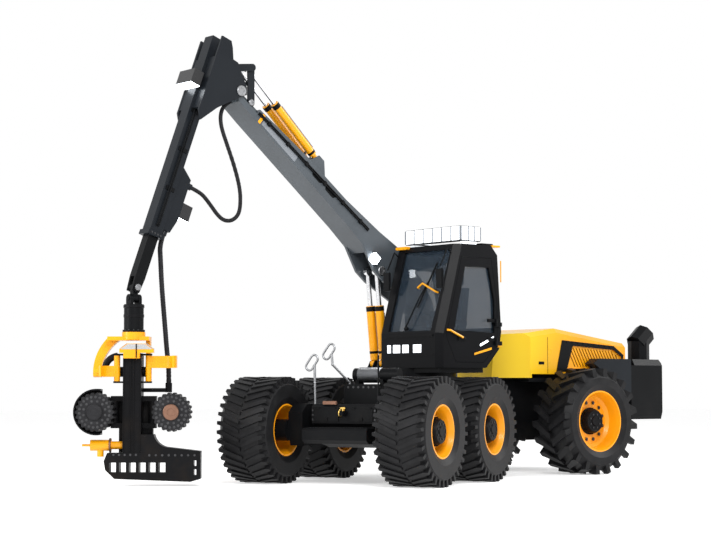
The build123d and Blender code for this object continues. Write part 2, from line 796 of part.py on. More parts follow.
# Counterweight: chamfered block with cheeks beside the hood and the hitch at its back
with BuildPart() as counterweight:
    slab_x(
        (
            (-WEIGHT_HALF_W, WEIGHT_LOW),
            (WEIGHT_HALF_W, WEIGHT_LOW),
            (WEIGHT_HALF_W, WEIGHT_TOP - WEIGHT_CHAMFER),
            (WEIGHT_HALF_W - 50, WEIGHT_TOP),
            (50 - WEIGHT_HALF_W, WEIGHT_TOP),
            (-WEIGHT_HALF_W, WEIGHT_TOP - WEIGHT_CHAMFER),
        ),
        -WEIGHT_END,
        -REAR_END,
    )
    slab_y(
        (
            (-CHEEK_FRONT, WEIGHT_LOW),
            (-WEIGHT_END + 40, WEIGHT_LOW),
            (-WEIGHT_END, WEIGHT_LOW + 120),
            (-WEIGHT_END, WEIGHT_TOP - 60),
            (-WEIGHT_END + 30, WEIGHT_TOP),
            (-CHEEK_FRONT, WEIGHT_TOP),
        ),
        -WEIGHT_HALF_W,
        WEIGHT_HALF_W,
        mode=Mode.INTERSECT,
    )
    for side in (-1, 1):
        cheek_span = sorted((side * CHEEK_IN, side * WEIGHT_HALF_W))
        block((-REAR_END - OVERLAP, -CHEEK_FRONT), cheek_span, (WEIGHT_LOW, WEIGHT_TOP - WEIGHT_CHAMFER))
    hitch_x = -WEIGHT_END - HITCH_T
    hitch_span = (HITCH_Z - HITCH_T / 2, HITCH_Z + HITCH_T / 2)
    block((hitch_x - HITCH_T, -WEIGHT_END + OVERLAP), (-80, 80), hitch_span)
    with Locations((hitch_x, 0, HITCH_Z)):
        Cylinder(HITCH_R, HITCH_T, mode=Mode.SUBTRACT)
finish(counterweight, "counterweight", rear_pose)

# Exhaust: an eight-sided stack with its outlet turned to the back
outlet = Plane(
    origin=(-EXHAUST_BACK, EXHAUST_Y, WEIGHT_TOP + EXHAUST_H),
    z_dir=(-sin(radians(EXHAUST_BEND)), 0, cos(radians(EXHAUST_BEND))),
)
with BuildPart() as exhaust:
    with BuildSketch(Plane.XY.offset(WEIGHT_TOP)) as stack:
        with Locations((-EXHAUST_BACK, EXHAUST_Y)):
            RegularPolygon(EXHAUST_R, 8)
    extrude(stack.sketch, amount=EXHAUST_H)
    with BuildSketch(outlet.offset(-EXHAUST_R / 2)) as neck:
        RegularPolygon(EXHAUST_R, 8)
    extrude(neck.sketch, amount=EXHAUST_R * 1.7)
    with BuildSketch(outlet.offset(EXHAUST_R / 2)) as mouth:
        RegularPolygon(EXHAUST_R - EXHAUST_WALL, 8)
    extrude(mouth.sketch, amount=EXHAUST_R, mode=Mode.SUBTRACT)
finish(exhaust, "exhaust", rear_pose)

# Mudguards: side boxes behind the rear wheels, hollowed round the tyre, against the counterweight's cheeks
with BuildPart() as fenders:
    with BuildSketch(Plane.XZ.offset(-WEIGHT_HALF_W)) as guard:
        with BuildLine():
            Polyline(
                (-2330, 1720),
                (-2450, WEIGHT_TOP),
                (-CHEEK_FRONT + PIN_FIT, WEIGHT_TOP),
                (-CHEEK_FRONT + PIN_FIT, 1250),
                (-2760, 1250),
            )
            ThreePointArc((-2760, 1250), (-2600, 1530), (-2330, 1720))
        make_face()
    extrude(guard.sketch, amount=WEIGHT_HALF_W - HOOD_HALF_W - BEZEL_T - FENDER_FIT)
    mirror(about=Plane.XZ)
finish(fenders, "fenders", rear_pose)

# Slewing platform: ring, cab floor and crane floor
with BuildPart() as slew_platform:
    with Locations((0, 0, (DECK_LOW + DECK_TOP) / 2)):
        Cylinder(SLEW_R + 40, DECK_TOP - DECK_LOW)
    floor_span = (DECK_TOP - DECK_T, DECK_TOP)
    block((CAB_TAIL + 320, CAB_NOSE - 60), (CAB_RIGHT + 20, CAB_LEFT - 60), floor_span)
    block((BOOM_FOOT_X - 130, LIFT_BASE_X + 180), (CRANE_Y - BOOM_HALF_W, CAB_RIGHT + 40), floor_span)
finish(slew_platform, "slew_platform", slew_pose)

# Crane base: a post for the boom foot and two pairs of ears for the lift cylinders
post_half = 140
post_r = 130
with BuildPart() as crane_base:
    slab_y(
        (
            (BOOM_FOOT_X - 150, DECK_TOP),
            (LIFT_BASE_X - 330, DECK_TOP),
            (BOOM_FOOT_X + 140, BOOM_FOOT_Z - 300),
            (BOOM_FOOT_X + post_r, BOOM_FOOT_Z),
            (BOOM_FOOT_X - post_r, BOOM_FOOT_Z),
        ),
        -post_half,
        post_half,
    )
    cross_bar((BOOM_FOOT_X, BOOM_FOOT_Z), post_half, post_r)
    cross_bar((BOOM_FOOT_X, BOOM_FOOT_Z), BOOM_HALF_W + 20, BOOM_FOOT_PIN_R)
    for across in (-LIFT_SPREAD, LIFT_SPREAD):
        for ear in (-RAM_EAR_IN - RAM_EAR_T, RAM_EAR_IN):
            slab_y(
                (
                    (LIFT_BASE_X - 110, DECK_TOP),
                    (LIFT_BASE_X + 110, DECK_TOP),
                    (LIFT_BASE_X + 45, LIFT_BASE_Z + 40),
                    (LIFT_BASE_X - 45, LIFT_BASE_Z + 40),
                ),
                across + ear,
                across + ear + RAM_EAR_T,
            )
        cross_bar((LIFT_BASE_X, LIFT_BASE_Z), RAM_EAR_IN + RAM_EAR_T, RAM_PIN_R, middle=across)
finish(crane_base, "crane_base", crane_pose)

# Cab: a hollow shell with slanted front corners, its windows and the door opening cut
cab_side = (
    (CAB_NOSE, CAB_LOW),
    (CAB_NOSE, CAB_BELT),
    (CAB_BROW, CAB_TOP),
    (CAB_TAIL + 205, CAB_TOP),
    (CAB_TAIL + 75, CAB_TOP - 140),
    (CAB_TAIL, CAB_BELT + 25),
    (CAB_TAIL + 45, CAB_BELT - 230),
    (CAB_TAIL + 310, CAB_LOW),
)
door_outline = (
    (CAB_NOSE - 330, CAB_LOW + 80),
    (CAB_NOSE - 140, CAB_BELT - 50),
    (CAB_NOSE - 150, CAB_BELT),
    (CAB_BROW - 85, CAB_TOP - 190),
    (CAB_TAIL + 200, CAB_TOP - 190),
    (CAB_TAIL + 80, CAB_BELT + 450),
    (CAB_TAIL + 80, CAB_BELT - 30),
    (CAB_TAIL + 130, CAB_BELT - 220),
    (CAB_TAIL + 360, CAB_LOW + 80),
)
side_pane = (
    (CAB_NOSE - 295, CAB_BELT + 35),
    (CAB_BROW - 157, CAB_TOP - 330),
    (CAB_TAIL + 250, CAB_TOP - 330),
    (CAB_TAIL + 140, CAB_BELT + 490),
    (CAB_TAIL + 140, CAB_BELT + 10),
)
front_pane = (
    (CAB_RIGHT + PILLAR_RIGHT, SILL_Z),
    (CAB_LEFT - PILLAR_LEFT - 60, SILL_Z),
    (CAB_LEFT - PILLAR_LEFT + 20, HEADER_Z),
    (CAB_RIGHT + PILLAR_RIGHT, HEADER_Z),
)
rear_pane = (
    (CAB_RIGHT + PILLAR_RIGHT, SILL_Z + 60),
    (CAB_LEFT - PILLAR_LEFT, SILL_Z + 60),
    (CAB_LEFT - PILLAR_LEFT, HEADER_Z - 130),
    (CAB_RIGHT + PILLAR_RIGHT, HEADER_Z - 130),
)


def cab_body(depth):
    """Build the solid cab outline, drawn in by a depth from its skin."""
    with BuildPart() as body:
        slab_y(cab_side, CAB_RIGHT, CAB_LEFT)
        front = body.edges().filter_by(lambda edge: abs(edge.center().X) < CAB_NOSE + 1)
        front = front.filter_by(lambda edge: edge.center().X > CAB_BROW)
        front = front.filter_by(lambda edge: CAB_LOW + 1 < edge.center().Z < CAB_TOP - 1)
        chamfer(front.filter_by(lambda edge: edge.center().Y > CAB_LEFT - 1), CAB_CORNER)
        if depth:
            offset(amount=-depth, mode=Mode.REPLACE, kind=Kind.INTERSECTION)
    return body.part


with BuildPart() as cab_shell:
    add(cab_body(0))
    add(cab_body(CAB_WALL), mode=Mode.SUBTRACT)
    slab_y(door_outline, CAB_LEFT - CAB_WALL - OVERLAP, CAB_LEFT + OVERLAP, mode=Mode.SUBTRACT)
    slab_y(side_pane, CAB_RIGHT - OVERLAP, CAB_RIGHT + CAB_WALL + OVERLAP, mode=Mode.SUBTRACT)
    slab_x(front_pane, 0, CAB_NOSE + OVERLAP, mode=Mode.SUBTRACT)
    slab_x(rear_pane, CAB_TAIL - OVERLAP, CAB_TAIL + 250, mode=Mode.SUBTRACT)
    for low in DOOR_HINGES:
        knuckle = (DOOR_AXIS_X, DOOR_AXIS_Y, low)
        top = low + HINGE_H
        block((DOOR_AXIS_X - 110, DOOR_AXIS_X), (CAB_LEFT + CAB_GAP, DOOR_AXIS_Y + OVERLAP), (low, top))
        block((DOOR_AXIS_X - 110, DOOR_AXIS_X - 55), (CAB_LEFT - OVERLAP, CAB_LEFT + OVERLAP), (low, top))
        bar(knuckle, (DOOR_AXIS_X, DOOR_AXIS_Y, top), HINGE_KNUCKLE_R)
        bar((DOOR_AXIS_X, DOOR_AXIS_Y, top - OVERLAP), (DOOR_AXIS_X, DOOR_AXIS_Y, top + 55), HINGE_ROD_R)
finish(cab_shell, "cab_shell", slew_pose)

with BuildPart() as cab_glass:
    slab_x(front_pane, 0, CAB_NOSE)
    slab_x(rear_pane, CAB_TAIL, CAB_TAIL + 250)
    slab_y(side_pane, CAB_RIGHT, CAB_RIGHT + CAB_WALL)
    add(cab_body(CAB_WALL / 2), mode=Mode.INTERSECT)
    add(cab_body(CAB_WALL / 2 + GLASS_T), mode=Mode.SUBTRACT)
finish(cab_glass, "cab_glass", slew_pose)

with BuildPart() as cab_door:
    with BuildSketch(Plane.XZ.offset(-CAB_LEFT)) as door_sketch:
        with BuildLine():
            Polyline(*door_outline, close=True)
        make_face()
        offset(amount=-CAB_GAP, kind=Kind.INTERSECTION)
    extrude(door_sketch.sketch, amount=CAB_WALL)
    slab_y(side_pane, CAB_LEFT - CAB_WALL - OVERLAP, CAB_LEFT + OVERLAP, mode=Mode.SUBTRACT)
    for low in DOOR_HINGES:
        start = low + HINGE_H + PIN_FIT
        end = start + 50
        root = (DOOR_AXIS_X, DOOR_AXIS_Y, start)
        tip_of_rod = (DOOR_AXIS_X, DOOR_AXIS_Y, end)
        block((DOOR_AXIS_X, DOOR_AXIS_X + 160), (CAB_LEFT + 2, DOOR_AXIS_Y - 5), (start, end))
        block((DOOR_AXIS_X + 60, DOOR_AXIS_X + 160), (CAB_LEFT - 5, CAB_LEFT + 5), (start, end))
        bar(root, tip_of_rod, HINGE_KNUCKLE_R)
        bar(root, tip_of_rod, HINGE_ROD_R + PIN_FIT, mode=Mode.SUBTRACT)
finish(cab_door, "cab_door", slew_pose)

with BuildPart() as door_glass:
    slab_y(side_pane, CAB_LEFT - CAB_WALL / 2 - GLASS_T, CAB_LEFT - CAB_WALL / 2)
finish(door_glass, "door_glass", slew_pose)

# Lamps of the cab: a bar wrapped round the roof's front, and four lamps in the nose
nose_lamps = ((-150, -80), (-20, 130), (190, 320), (430, 600))
with BuildPart() as cab_lamps:
    block((LIGHT_BAR_FRONT - LIGHT_BAR_D, LIGHT_BAR_FRONT), LIGHT_BAR_SPAN, LIGHT_BAR_Z)
    for side, end in zip((1, -1), LIGHT_BAR_SPAN):
        arm_span = sorted((end, end + side * LIGHT_BAR_D))
        block((LIGHT_BAR_BACK, LIGHT_BAR_FRONT - OVERLAP), arm_span, LIGHT_BAR_Z)
        foot_span = sorted((end + side * 30, end + side * 90))
        block((-330, -60), foot_span, (CAB_TOP, LIGHT_BAR_Z[0] + OVERLAP))
    for lamp_span in nose_lamps:
        block((CAB_NOSE, CAB_NOSE + NOSE_LAMP_T), lamp_span, NOSE_LAMP_Z)
finish(cab_lamps, "cab_lamps", slew_pose)

# Seat: pedestal, cushion, back and two arm rests with their sticks
seat_y = 330
floor_z = CAB_LOW + CAB_WALL
with BuildPart() as cab_seat:
    block((-380, 60), (seat_y - 200, seat_y + 200), (floor_z, floor_z + 290))
    block((-400, 100), (seat_y - 240, seat_y + 240), (floor_z + 280, floor_z + 400))
    slab_y(
        (
            (-300, floor_z + 390),
            (-430, floor_z + 390),
            (-520, floor_z + 1130),
            (-410, floor_z + 1130),
        ),
        seat_y - 230,
        seat_y + 230,
    )
    for side in (-1, 1):
        arm_span = sorted((seat_y + side * 235, seat_y + side * 325))
        block((-380, 90), arm_span, (floor_z + 560, floor_z + 620))
        block((-300, -200), arm_span, (floor_z + 300, floor_z + 570))
        block((-300, -200), (seat_y + side * 200, seat_y + side * 300), (floor_z + 300, floor_z + 360))
        bar(
            (50, seat_y + side * 280, floor_z + 610),
            (80, seat_y + side * 280, floor_z + 740),
            25,
        )
finish(cab_seat, "cab_seat", slew_pose)

# Main boom: box beam, open under the foot for the lift cylinders, with a hose gland under the elbow
boom_gland = on_boom(BOOM_LENGTH - 60, -70)
hose_start = on_boom(BOOM_LENGTH - 32, -156)
end_start = BOOM_LENGTH - BOOM_END_L
lift_pin = on_boom(LIFT_PIN_ALONG, LIFT_PIN_BELOW)
rocker_base = on_boom(BOOM_LENGTH - ROCKER_BACK, ROCKER_ABOVE)
stick_pin_along = BOOM_LENGTH - STICK_PIN_BACK
stick_pin = on_boom(stick_pin_along, STICK_PIN_ABOVE)
with BuildPart() as main_boom:
    slab_y(
        (
            on_boom(CHANNEL_END - 150, CHEEK_TOP - 60),
            on_boom(CHANNEL_END - 150, -BOOM_UNDER - 25),
            on_boom(CHANNEL_END + 400, -BOOM_UNDER),
            on_boom(end_start, -BOOM_UNDER),
            on_boom(end_start, BOOM_END_OVER),
            on_boom(stick_pin_along + 250, BOOM_OVER - 20),
            on_boom(stick_pin_along - 700, BOOM_OVER),
        ),
        -BOOM_HALF_W,
        BOOM_HALF_W,
    )
    slab_y(
        (
            on_boom(end_start - OVERLAP, BOOM_END_OVER - 5),
            on_boom(end_start - OVERLAP, -BOOM_UNDER + 5),
            on_boom(BOOM_LENGTH, -ELBOW_BOSS_R + 5),
            on_boom(BOOM_LENGTH, ELBOW_BOSS_R - 40),
        ),
        -BOOM_END_HALF_W,
        BOOM_END_HALF_W,
    )
    slab_y(
        (
            on_boom(end_start - OVERLAP, BOOM_SILL),
            on_boom(end_start - OVERLAP, -BOOM_UNDER),
            on_boom(BOOM_LENGTH - ELBOW_BOSS_R, -BOOM_UNDER + 10),
            on_boom(BOOM_LENGTH, BOOM_SILL - 40),
            on_boom(BOOM_LENGTH, BOOM_SILL),
        ),
        -BOOM_HALF_W,
        BOOM_HALF_W,
    )
    for side in (-1, 1):
        cheek = sorted((side * (BOOM_HALF_W - BOOM_CHEEK_T), side * BOOM_HALF_W))
        slab_y(
            (
                on_boom(-130, 60),
                on_boom(-130, -60),
                on_boom(0, -130),
                on_boom(LIFT_PIN_ALONG - 120, LIFT_PIN_BELOW - 100),
                on_boom(LIFT_PIN_ALONG + 120, LIFT_PIN_BELOW - 100),
                on_boom(CHANNEL_END, -BOOM_UNDER - 20),
                on_boom(CHANNEL_END, CHEEK_TOP - 80),
                on_boom(LIFT_PIN_ALONG, CHEEK_TOP),
                on_boom(300, CHEEK_TOP - 60),
                on_boom(0, 140),
            ),
            *cheek,
        )
        cross_bar(lift_pin, BOOM_CHEEK_T / 2 + OVERLAP, RAM_EYE_R, middle=sum(cheek) / 2)
    slab_y(
        (
            on_boom(330, CHEEK_TOP - 90),
            on_boom(LIFT_PIN_ALONG, CHEEK_TOP - 40),
            on_boom(CHANNEL_END, CHEEK_TOP - 120),
            on_boom(CHANNEL_END, CHEEK_TOP - 95),
            on_boom(LIFT_PIN_ALONG, CHEEK_TOP - 15),
            on_boom(330, CHEEK_TOP - 65),
        ),
        -BOOM_HALF_W + 20,
        BOOM_HALF_W - 20,
    )
    cross_bar(on_boom(0), BOOM_HALF_W + 30, BOOM_FOOT_PIN_R + PIN_FIT, mode=Mode.SUBTRACT)
    cross_bar(elbow, BOOM_END_HALF_W, ELBOW_BOSS_R)
    cross_bar(elbow, PLATE_IN + PLATE_T, ELBOW_PIN_R)
    cross_bar(rocker_base, BOOM_END_HALF_W, ROCKER_R)
    cross_bar(rocker_base, ROCKER_IN + ROCKER_T, ROCKER_PIN_R)
    for across in (-LIFT_SPREAD, LIFT_SPREAD):
        for ear in (-RAM_EAR_IN - RAM_EAR_T, RAM_EAR_IN):
            slab_y(
                (
                    on_boom(stick_pin_along - 260, BOOM_OVER - 25),
                    on_boom(stick_pin_along + 160, BOOM_OVER - 25),
                    on_boom(stick_pin_along + 60, STICK_PIN_ABOVE + 50),
                    on_boom(stick_pin_along - 60, STICK_PIN_ABOVE + 50),
                ),
                across + ear,
                across + ear + RAM_EAR_T,
            )
        cross_bar(stick_pin, RAM_EAR_IN + RAM_EAR_T, RAM_PIN_R, middle=across)
    bar((boom_gland[0], HOSE_Y, boom_gland[1]), (hose_start[0], HOSE_Y, hose_start[1]), GLAND_R)
finish(main_boom, "main_boom", crane_pose)

# Lift cylinders
lift_base = (LIFT_BASE_X, LIFT_BASE_Z)
lift_length = hypot(lift_pin[0] - lift_base[0], lift_pin[1] - lift_base[1])
bore_start = on_run(lift_base, lift_pin, RAM_EYE_R + 20)
with BuildPart() as lift_barrels:
    end = on_run(lift_base, lift_pin, LIFT_BARREL_L)
    for across in (-LIFT_SPREAD, LIFT_SPREAD):
        cross_bar(lift_base, RAM_EYE_HALF, RAM_EYE_R + 2, middle=across)
        run_bar(on_run(lift_base, lift_pin, RAM_EYE_R), end, across, LIFT_BARREL_R)
        cross_bar(lift_base, RAM_EAR_IN, RAM_PIN_R + PIN_FIT, mode=Mode.SUBTRACT, middle=across)
        run_bar(bore_start, end, across, LIFT_ROD_R + PIN_FIT, mode=Mode.SUBTRACT)
finish(lift_barrels, "lift_barrels", crane_pose)

with BuildPart() as lift_rods:
    start = on_run(lift_base, lift_pin, lift_length - LIFT_ROD_L)
    end = on_run(lift_base, lift_pin, lift_length - 20)
    for across in (-LIFT_SPREAD, LIFT_SPREAD):
        run_bar(start, end, across, LIFT_ROD_R)
        cross_bar(lift_pin, RAM_EYE_HALF, RAM_EYE_R, middle=across)
finish(lift_rods, "lift_rods", crane_pose)

# Stick: telescopic box with its elbow plates, end collar and the hose guide behind it
half_d = STICK_D / 2
bore_d = EXT_D / 2 + EXT_FIT
guide_back = half_d + GUIDE_D
gland_end = guide_back + GLAND_L
with BuildPart() as stick:
    slab_y(
        (
            on_stick(-STICK_OVER, half_d),
            on_stick(-STICK_OVER, -half_d),
            on_stick(STICK_LENGTH, -half_d),
            on_stick(STICK_LENGTH, half_d),
        ),
        -STICK_W / 2,
        STICK_W / 2,
    )
    slab_y(
        (
            on_stick(STICK_LENGTH - STICK_COLLAR, half_d + STICK_COLLAR_T),
            on_stick(STICK_LENGTH - STICK_COLLAR, -half_d - STICK_COLLAR_T),
            on_stick(STICK_LENGTH, -half_d - STICK_COLLAR_T),
            on_stick(STICK_LENGTH, half_d + STICK_COLLAR_T),
        ),
        -STICK_W / 2 - STICK_COLLAR_T,
        STICK_W / 2 + STICK_COLLAR_T,
    )
    slab_y(
        (
            on_stick(1337, -half_d + OVERLAP),
            on_stick(1480, -half_d - GUIDE_D),
            on_stick(2080, -half_d - GUIDE_D),
            on_stick(GUIDE_END, -half_d - 130),
            on_stick(GUIDE_END, -half_d + OVERLAP),
        ),
        -GUIDE_HALF_W,
        GUIDE_HALF_W,
    )
    slab_y(
        (
            on_stick(BORE_START, bore_d),
            on_stick(BORE_START, -bore_d),
            on_stick(STICK_LENGTH + OVERLAP, -bore_d),
            on_stick(STICK_LENGTH + OVERLAP, bore_d),
        ),
        -EXT_W / 2 - EXT_FIT,
        EXT_W / 2 + EXT_FIT,
        mode=Mode.SUBTRACT,
    )
    for side in (-1, 1):
        plate = sorted((side * PLATE_IN, side * (PLATE_IN + PLATE_T)))
        slab_y(
            (
                (elbow[0] - ELBOW_BOSS_R, elbow[1] - 50),
                (elbow[0] + 30, elbow[1] - ELBOW_BOSS_R),
                (elbow[0] + 424, elbow[1] - 288),
                on_stick(690, -20),
                on_stick(560, 60),
                on_stick(-STICK_OVER + 15, 60),
                on_stick(-STICK_OVER + 15, -half_d),
                on_stick(-STICK_OVER + 100, -half_d - 55),
                (elbow[0] + 142, elbow[1] + 437),
                (elbow[0] + 60, elbow[1] + 400),
                (elbow[0] - ELBOW_BOSS_R, elbow[1] + 60),
            ),
            *plate,
        )
        cross_bar(elbow, PLATE_T, ELBOW_PIN_R + PIN_FIT, mode=Mode.SUBTRACT, middle=sum(plate) / 2)
        boss = sorted((side * (LINK_IN + ROCKER_T + PIN_FIT), side * (PLATE_IN + 5)))
        bar((lever_pin[0], boss[0], lever_pin[1]), (lever_pin[0], boss[1], lever_pin[1]), LINK_R - 7)
        join = sorted((side * (STICK_W / 2 - 5), side * (PLATE_IN + 5)))
        slab_y((on_stick(-280, 55), on_stick(-280, -75), on_stick(520, -75), on_stick(520, 55)), *join)
    guide_eye = on_stick(GUIDE_GLAND, OVERLAP - guide_back)
    run_bar(guide_eye, on_stick(GUIDE_GLAND, -gland_end), GUIDE_HOSE_Y, GLAND_R)
    run_bar(
        on_stick(GUIDE_END - OVERLAP, -HEAD_HOSE_BACK),
        on_stick(GUIDE_END + GLAND_L, -HEAD_HOSE_BACK),
        0,
        GLAND_R,
    )
finish(stick, "stick", crane_pose)

# Extension with the fork for the tip pin
tip_along = STICK_LENGTH + EXT_OUT
tip = on_stick(tip_along)
with BuildPart() as extension:
    slab_y(
        (
            on_stick(STICK_LENGTH - EXT_IN, EXT_D / 2),
            on_stick(STICK_LENGTH - EXT_IN, -EXT_D / 2),
            on_stick(tip_along - 140, -EXT_D / 2),
            on_stick(tip_along - 140, EXT_D / 2),
        ),
        -EXT_W / 2,
        EXT_W / 2,
    )
    for side in (-1, 1):
        fork = sorted((side * 45, side * (EXT_W / 2)))
        slab_y(
            (
                on_stick(tip_along - 150, EXT_D / 2),
                on_stick(tip_along - 150, -EXT_D / 2),
                on_stick(tip_along + 60, -60),
                on_stick(tip_along + 60, 60),
            ),
            *fork,
        )
    cross_bar(tip, EXT_W / 2 + 15, TIP_PIN_R)
finish(extension, "extension", crane_pose)

# Stick cylinders, rocker and link above the elbow
rocker_top = on_boom(BOOM_LENGTH - ROCKER_BACK + ROCKER_RUN[0], ROCKER_ABOVE + ROCKER_RUN[1])
ram_length = hypot(rocker_top[0] - stick_pin[0], rocker_top[1] - stick_pin[1])
with BuildPart() as stick_barrels:
    neck = on_run(stick_pin, rocker_top, 150)
    end = on_run(stick_pin, rocker_top, STICK_BARREL_L)
    for across in (-LIFT_SPREAD, LIFT_SPREAD):
        run_bar(stick_pin, neck, across, STICK_NECK_R)
        cross_bar(stick_pin, RAM_EYE_HALF, RAM_EYE_R, middle=across)
        run_bar(on_run(stick_pin, rocker_top, 130), end, across, STICK_BARREL_R)
        cross_bar(stick_pin, RAM_EAR_IN, RAM_PIN_R + PIN_FIT, mode=Mode.SUBTRACT, middle=across)
        run_bar(neck, end, across, STICK_ROD_R + PIN_FIT, mode=Mode.SUBTRACT)
finish(stick_barrels, "stick_barrels", crane_pose)

with BuildPart() as stick_rods:
    start = on_run(stick_pin, rocker_top, ram_length - STICK_ROD_L)
    end = on_run(stick_pin, rocker_top, ram_length - 20)
    for across in (-LIFT_SPREAD, LIFT_SPREAD):
        run_bar(start, end, across, STICK_ROD_R)
        cross_bar(rocker_top, RAM_EYE_HALF, LINK_R, middle=across)
finish(stick_rods, "stick_rods", crane_pose)

rocker_mid = on_run(rocker_base, rocker_top, 0.57 * hypot(*ROCKER_RUN))
with BuildPart() as stick_rocker:
    for side in (-1, 1):
        arm = sorted((side * ROCKER_IN, side * (ROCKER_IN + ROCKER_T)))
        arm_plate(rocker_base, rocker_top, ROCKER_R, *arm)
        cross_bar(rocker_base, ROCKER_T, ROCKER_PIN_R + PIN_FIT, mode=Mode.SUBTRACT, middle=sum(arm) / 2)
    cross_bar(rocker_mid, ROCKER_IN + 5, ROCKER_R / 2)
finish(stick_rocker, "stick_rocker", crane_pose)

with BuildPart() as stick_link:
    for side in (-1, 1):
        arm_plate(rocker_top, lever_pin, LINK_R, *sorted((side * LINK_IN, side * (LINK_IN + ROCKER_T))))
finish(stick_link, "stick_link", crane_pose)

# Lamp boxes of the crane: start and size along the stick, side of it, face they stand on, half width
stick_lamp_rows = ((10, 210, 1, half_d, 190), (1830, 225, -1, half_d + GUIDE_D, 62))
with BuildPart() as stick_lamps:
    for along, size, ahead, face, half_w in stick_lamp_rows:
        near = ahead * face
        far = ahead * (face + LAMP_D)
        slab_y(
            (
                on_stick(along, near),
                on_stick(along, far),
                on_stick(along + size, far),
                on_stick(along + size, near),
            ),
            -half_w,
            half_w,
        )
finish(stick_lamps, "stick_lamps", crane_pose)

with BuildPart() as boom_lamp:
    slab_y(
        (on_boom(1230, -230), on_boom(1350, -230), on_boom(1350, -110), on_boom(1230, -110)),
        BOOM_HALF_W,
        BOOM_HALF_W + 90,
    )
finish(boom_lamp, "boom_lamp", crane_pose)

# Hanger and rotator below the tip pin, measured down from it
crane_tip = Location((slew_x + tip[0], slew_y + CRANE_Y, tip[1]))
rotator_top = -CROSS_DROP - 80
rotator_low = ROTATOR_LOW - HEAD_HANG
with BuildPart() as tip_link:
    bar((0, -40, 0), (0, 40, 0), 60)
    block((-40, 40), (-40, 40), (-CROSS_DROP, 0))
    bar((-40, 0, -CROSS_DROP), (40, 0, -CROSS_DROP), 55)
    bar((-45, 0, -CROSS_DROP), (45, 0, -CROSS_DROP), CROSS_PIN_R + PIN_FIT, mode=Mode.SUBTRACT)
    bar((0, -45, 0), (0, 45, 0), TIP_PIN_R + PIN_FIT, mode=Mode.SUBTRACT)
finish(tip_link, "tip_link", crane_tip)

with BuildPart() as rotator:
    bar((0, 0, rotator_low), (0, 0, rotator_top), ROTATOR_R)
    for side in (-1, 1):
        cheek = sorted((side * 41, side * 90))
        block(cheek, (-60, 60), (rotator_top - OVERLAP, -CROSS_DROP))
        bar((cheek[0], 0, -CROSS_DROP), (cheek[1], 0, -CROSS_DROP), 60)
    bar((-100, 0, -CROSS_DROP), (100, 0, -CROSS_DROP), CROSS_PIN_R)
finish(rotator, "rotator", crane_tip)

# Tilt frame: a curved arm on the left and a straight one on the right of the head's column
head_pose = crane_tip * Location((0, 0, -HEAD_HANG), (0, 0, HEAD_YAW))
tilt_top = ROTATOR_LOW - ROTATOR_FIT
plate_low = tilt_top - 60 - TILT_PLATE_T
tilt_arms = ((TILT_LEFT - 110, TILT_LEFT), (TILT_RIGHT, TILT_RIGHT + 60))
with BuildPart() as tilt_frame:
    bar((0, 0, plate_low + OVERLAP), (0, 0, tilt_top), ROTATOR_R + 25)
    block((-345, TILT_RIGHT + 60), (-130, TILT_Y + TILT_HALF), (plate_low, plate_low + TILT_PLATE_T))
    with BuildSketch(Plane.XZ.offset(-TILT_Y - TILT_HALF)) as bow:
        with BuildLine():
            ThreePointArc((-345, plate_low + 55), (-490, 1830), (TILT_LEFT - 110, 1490))
            Line((TILT_LEFT - 110, 1490), (TILT_LEFT, 1490))
            ThreePointArc((TILT_LEFT, 1490), (-400, 1740), (-200, plate_low))
            Polyline((-200, plate_low), (-200, plate_low + 55), (-345, plate_low + 55))
        make_face()
    extrude(bow.sketch, amount=2 * TILT_HALF)
    block(tilt_arms[1], (TILT_Y - TILT_HALF, TILT_Y + TILT_HALF), (FRAME_PIN_Z, plate_low + OVERLAP))
    for arm in tilt_arms:
        bar((arm[0], TILT_Y, FRAME_PIN_Z), (arm[1], TILT_Y, FRAME_PIN_Z), TILT_BOSS_R)
        bore = (arm[0] - OVERLAP, arm[1] + OVERLAP)
        bar(
            (bore[0], TILT_Y, FRAME_PIN_Z),
            (bore[1], TILT_Y, FRAME_PIN_Z),
            FRAME_PIN_R + PIN_FIT,
            mode=Mode.SUBTRACT,
        )
finish(tilt_frame, "tilt_frame", head_pose)

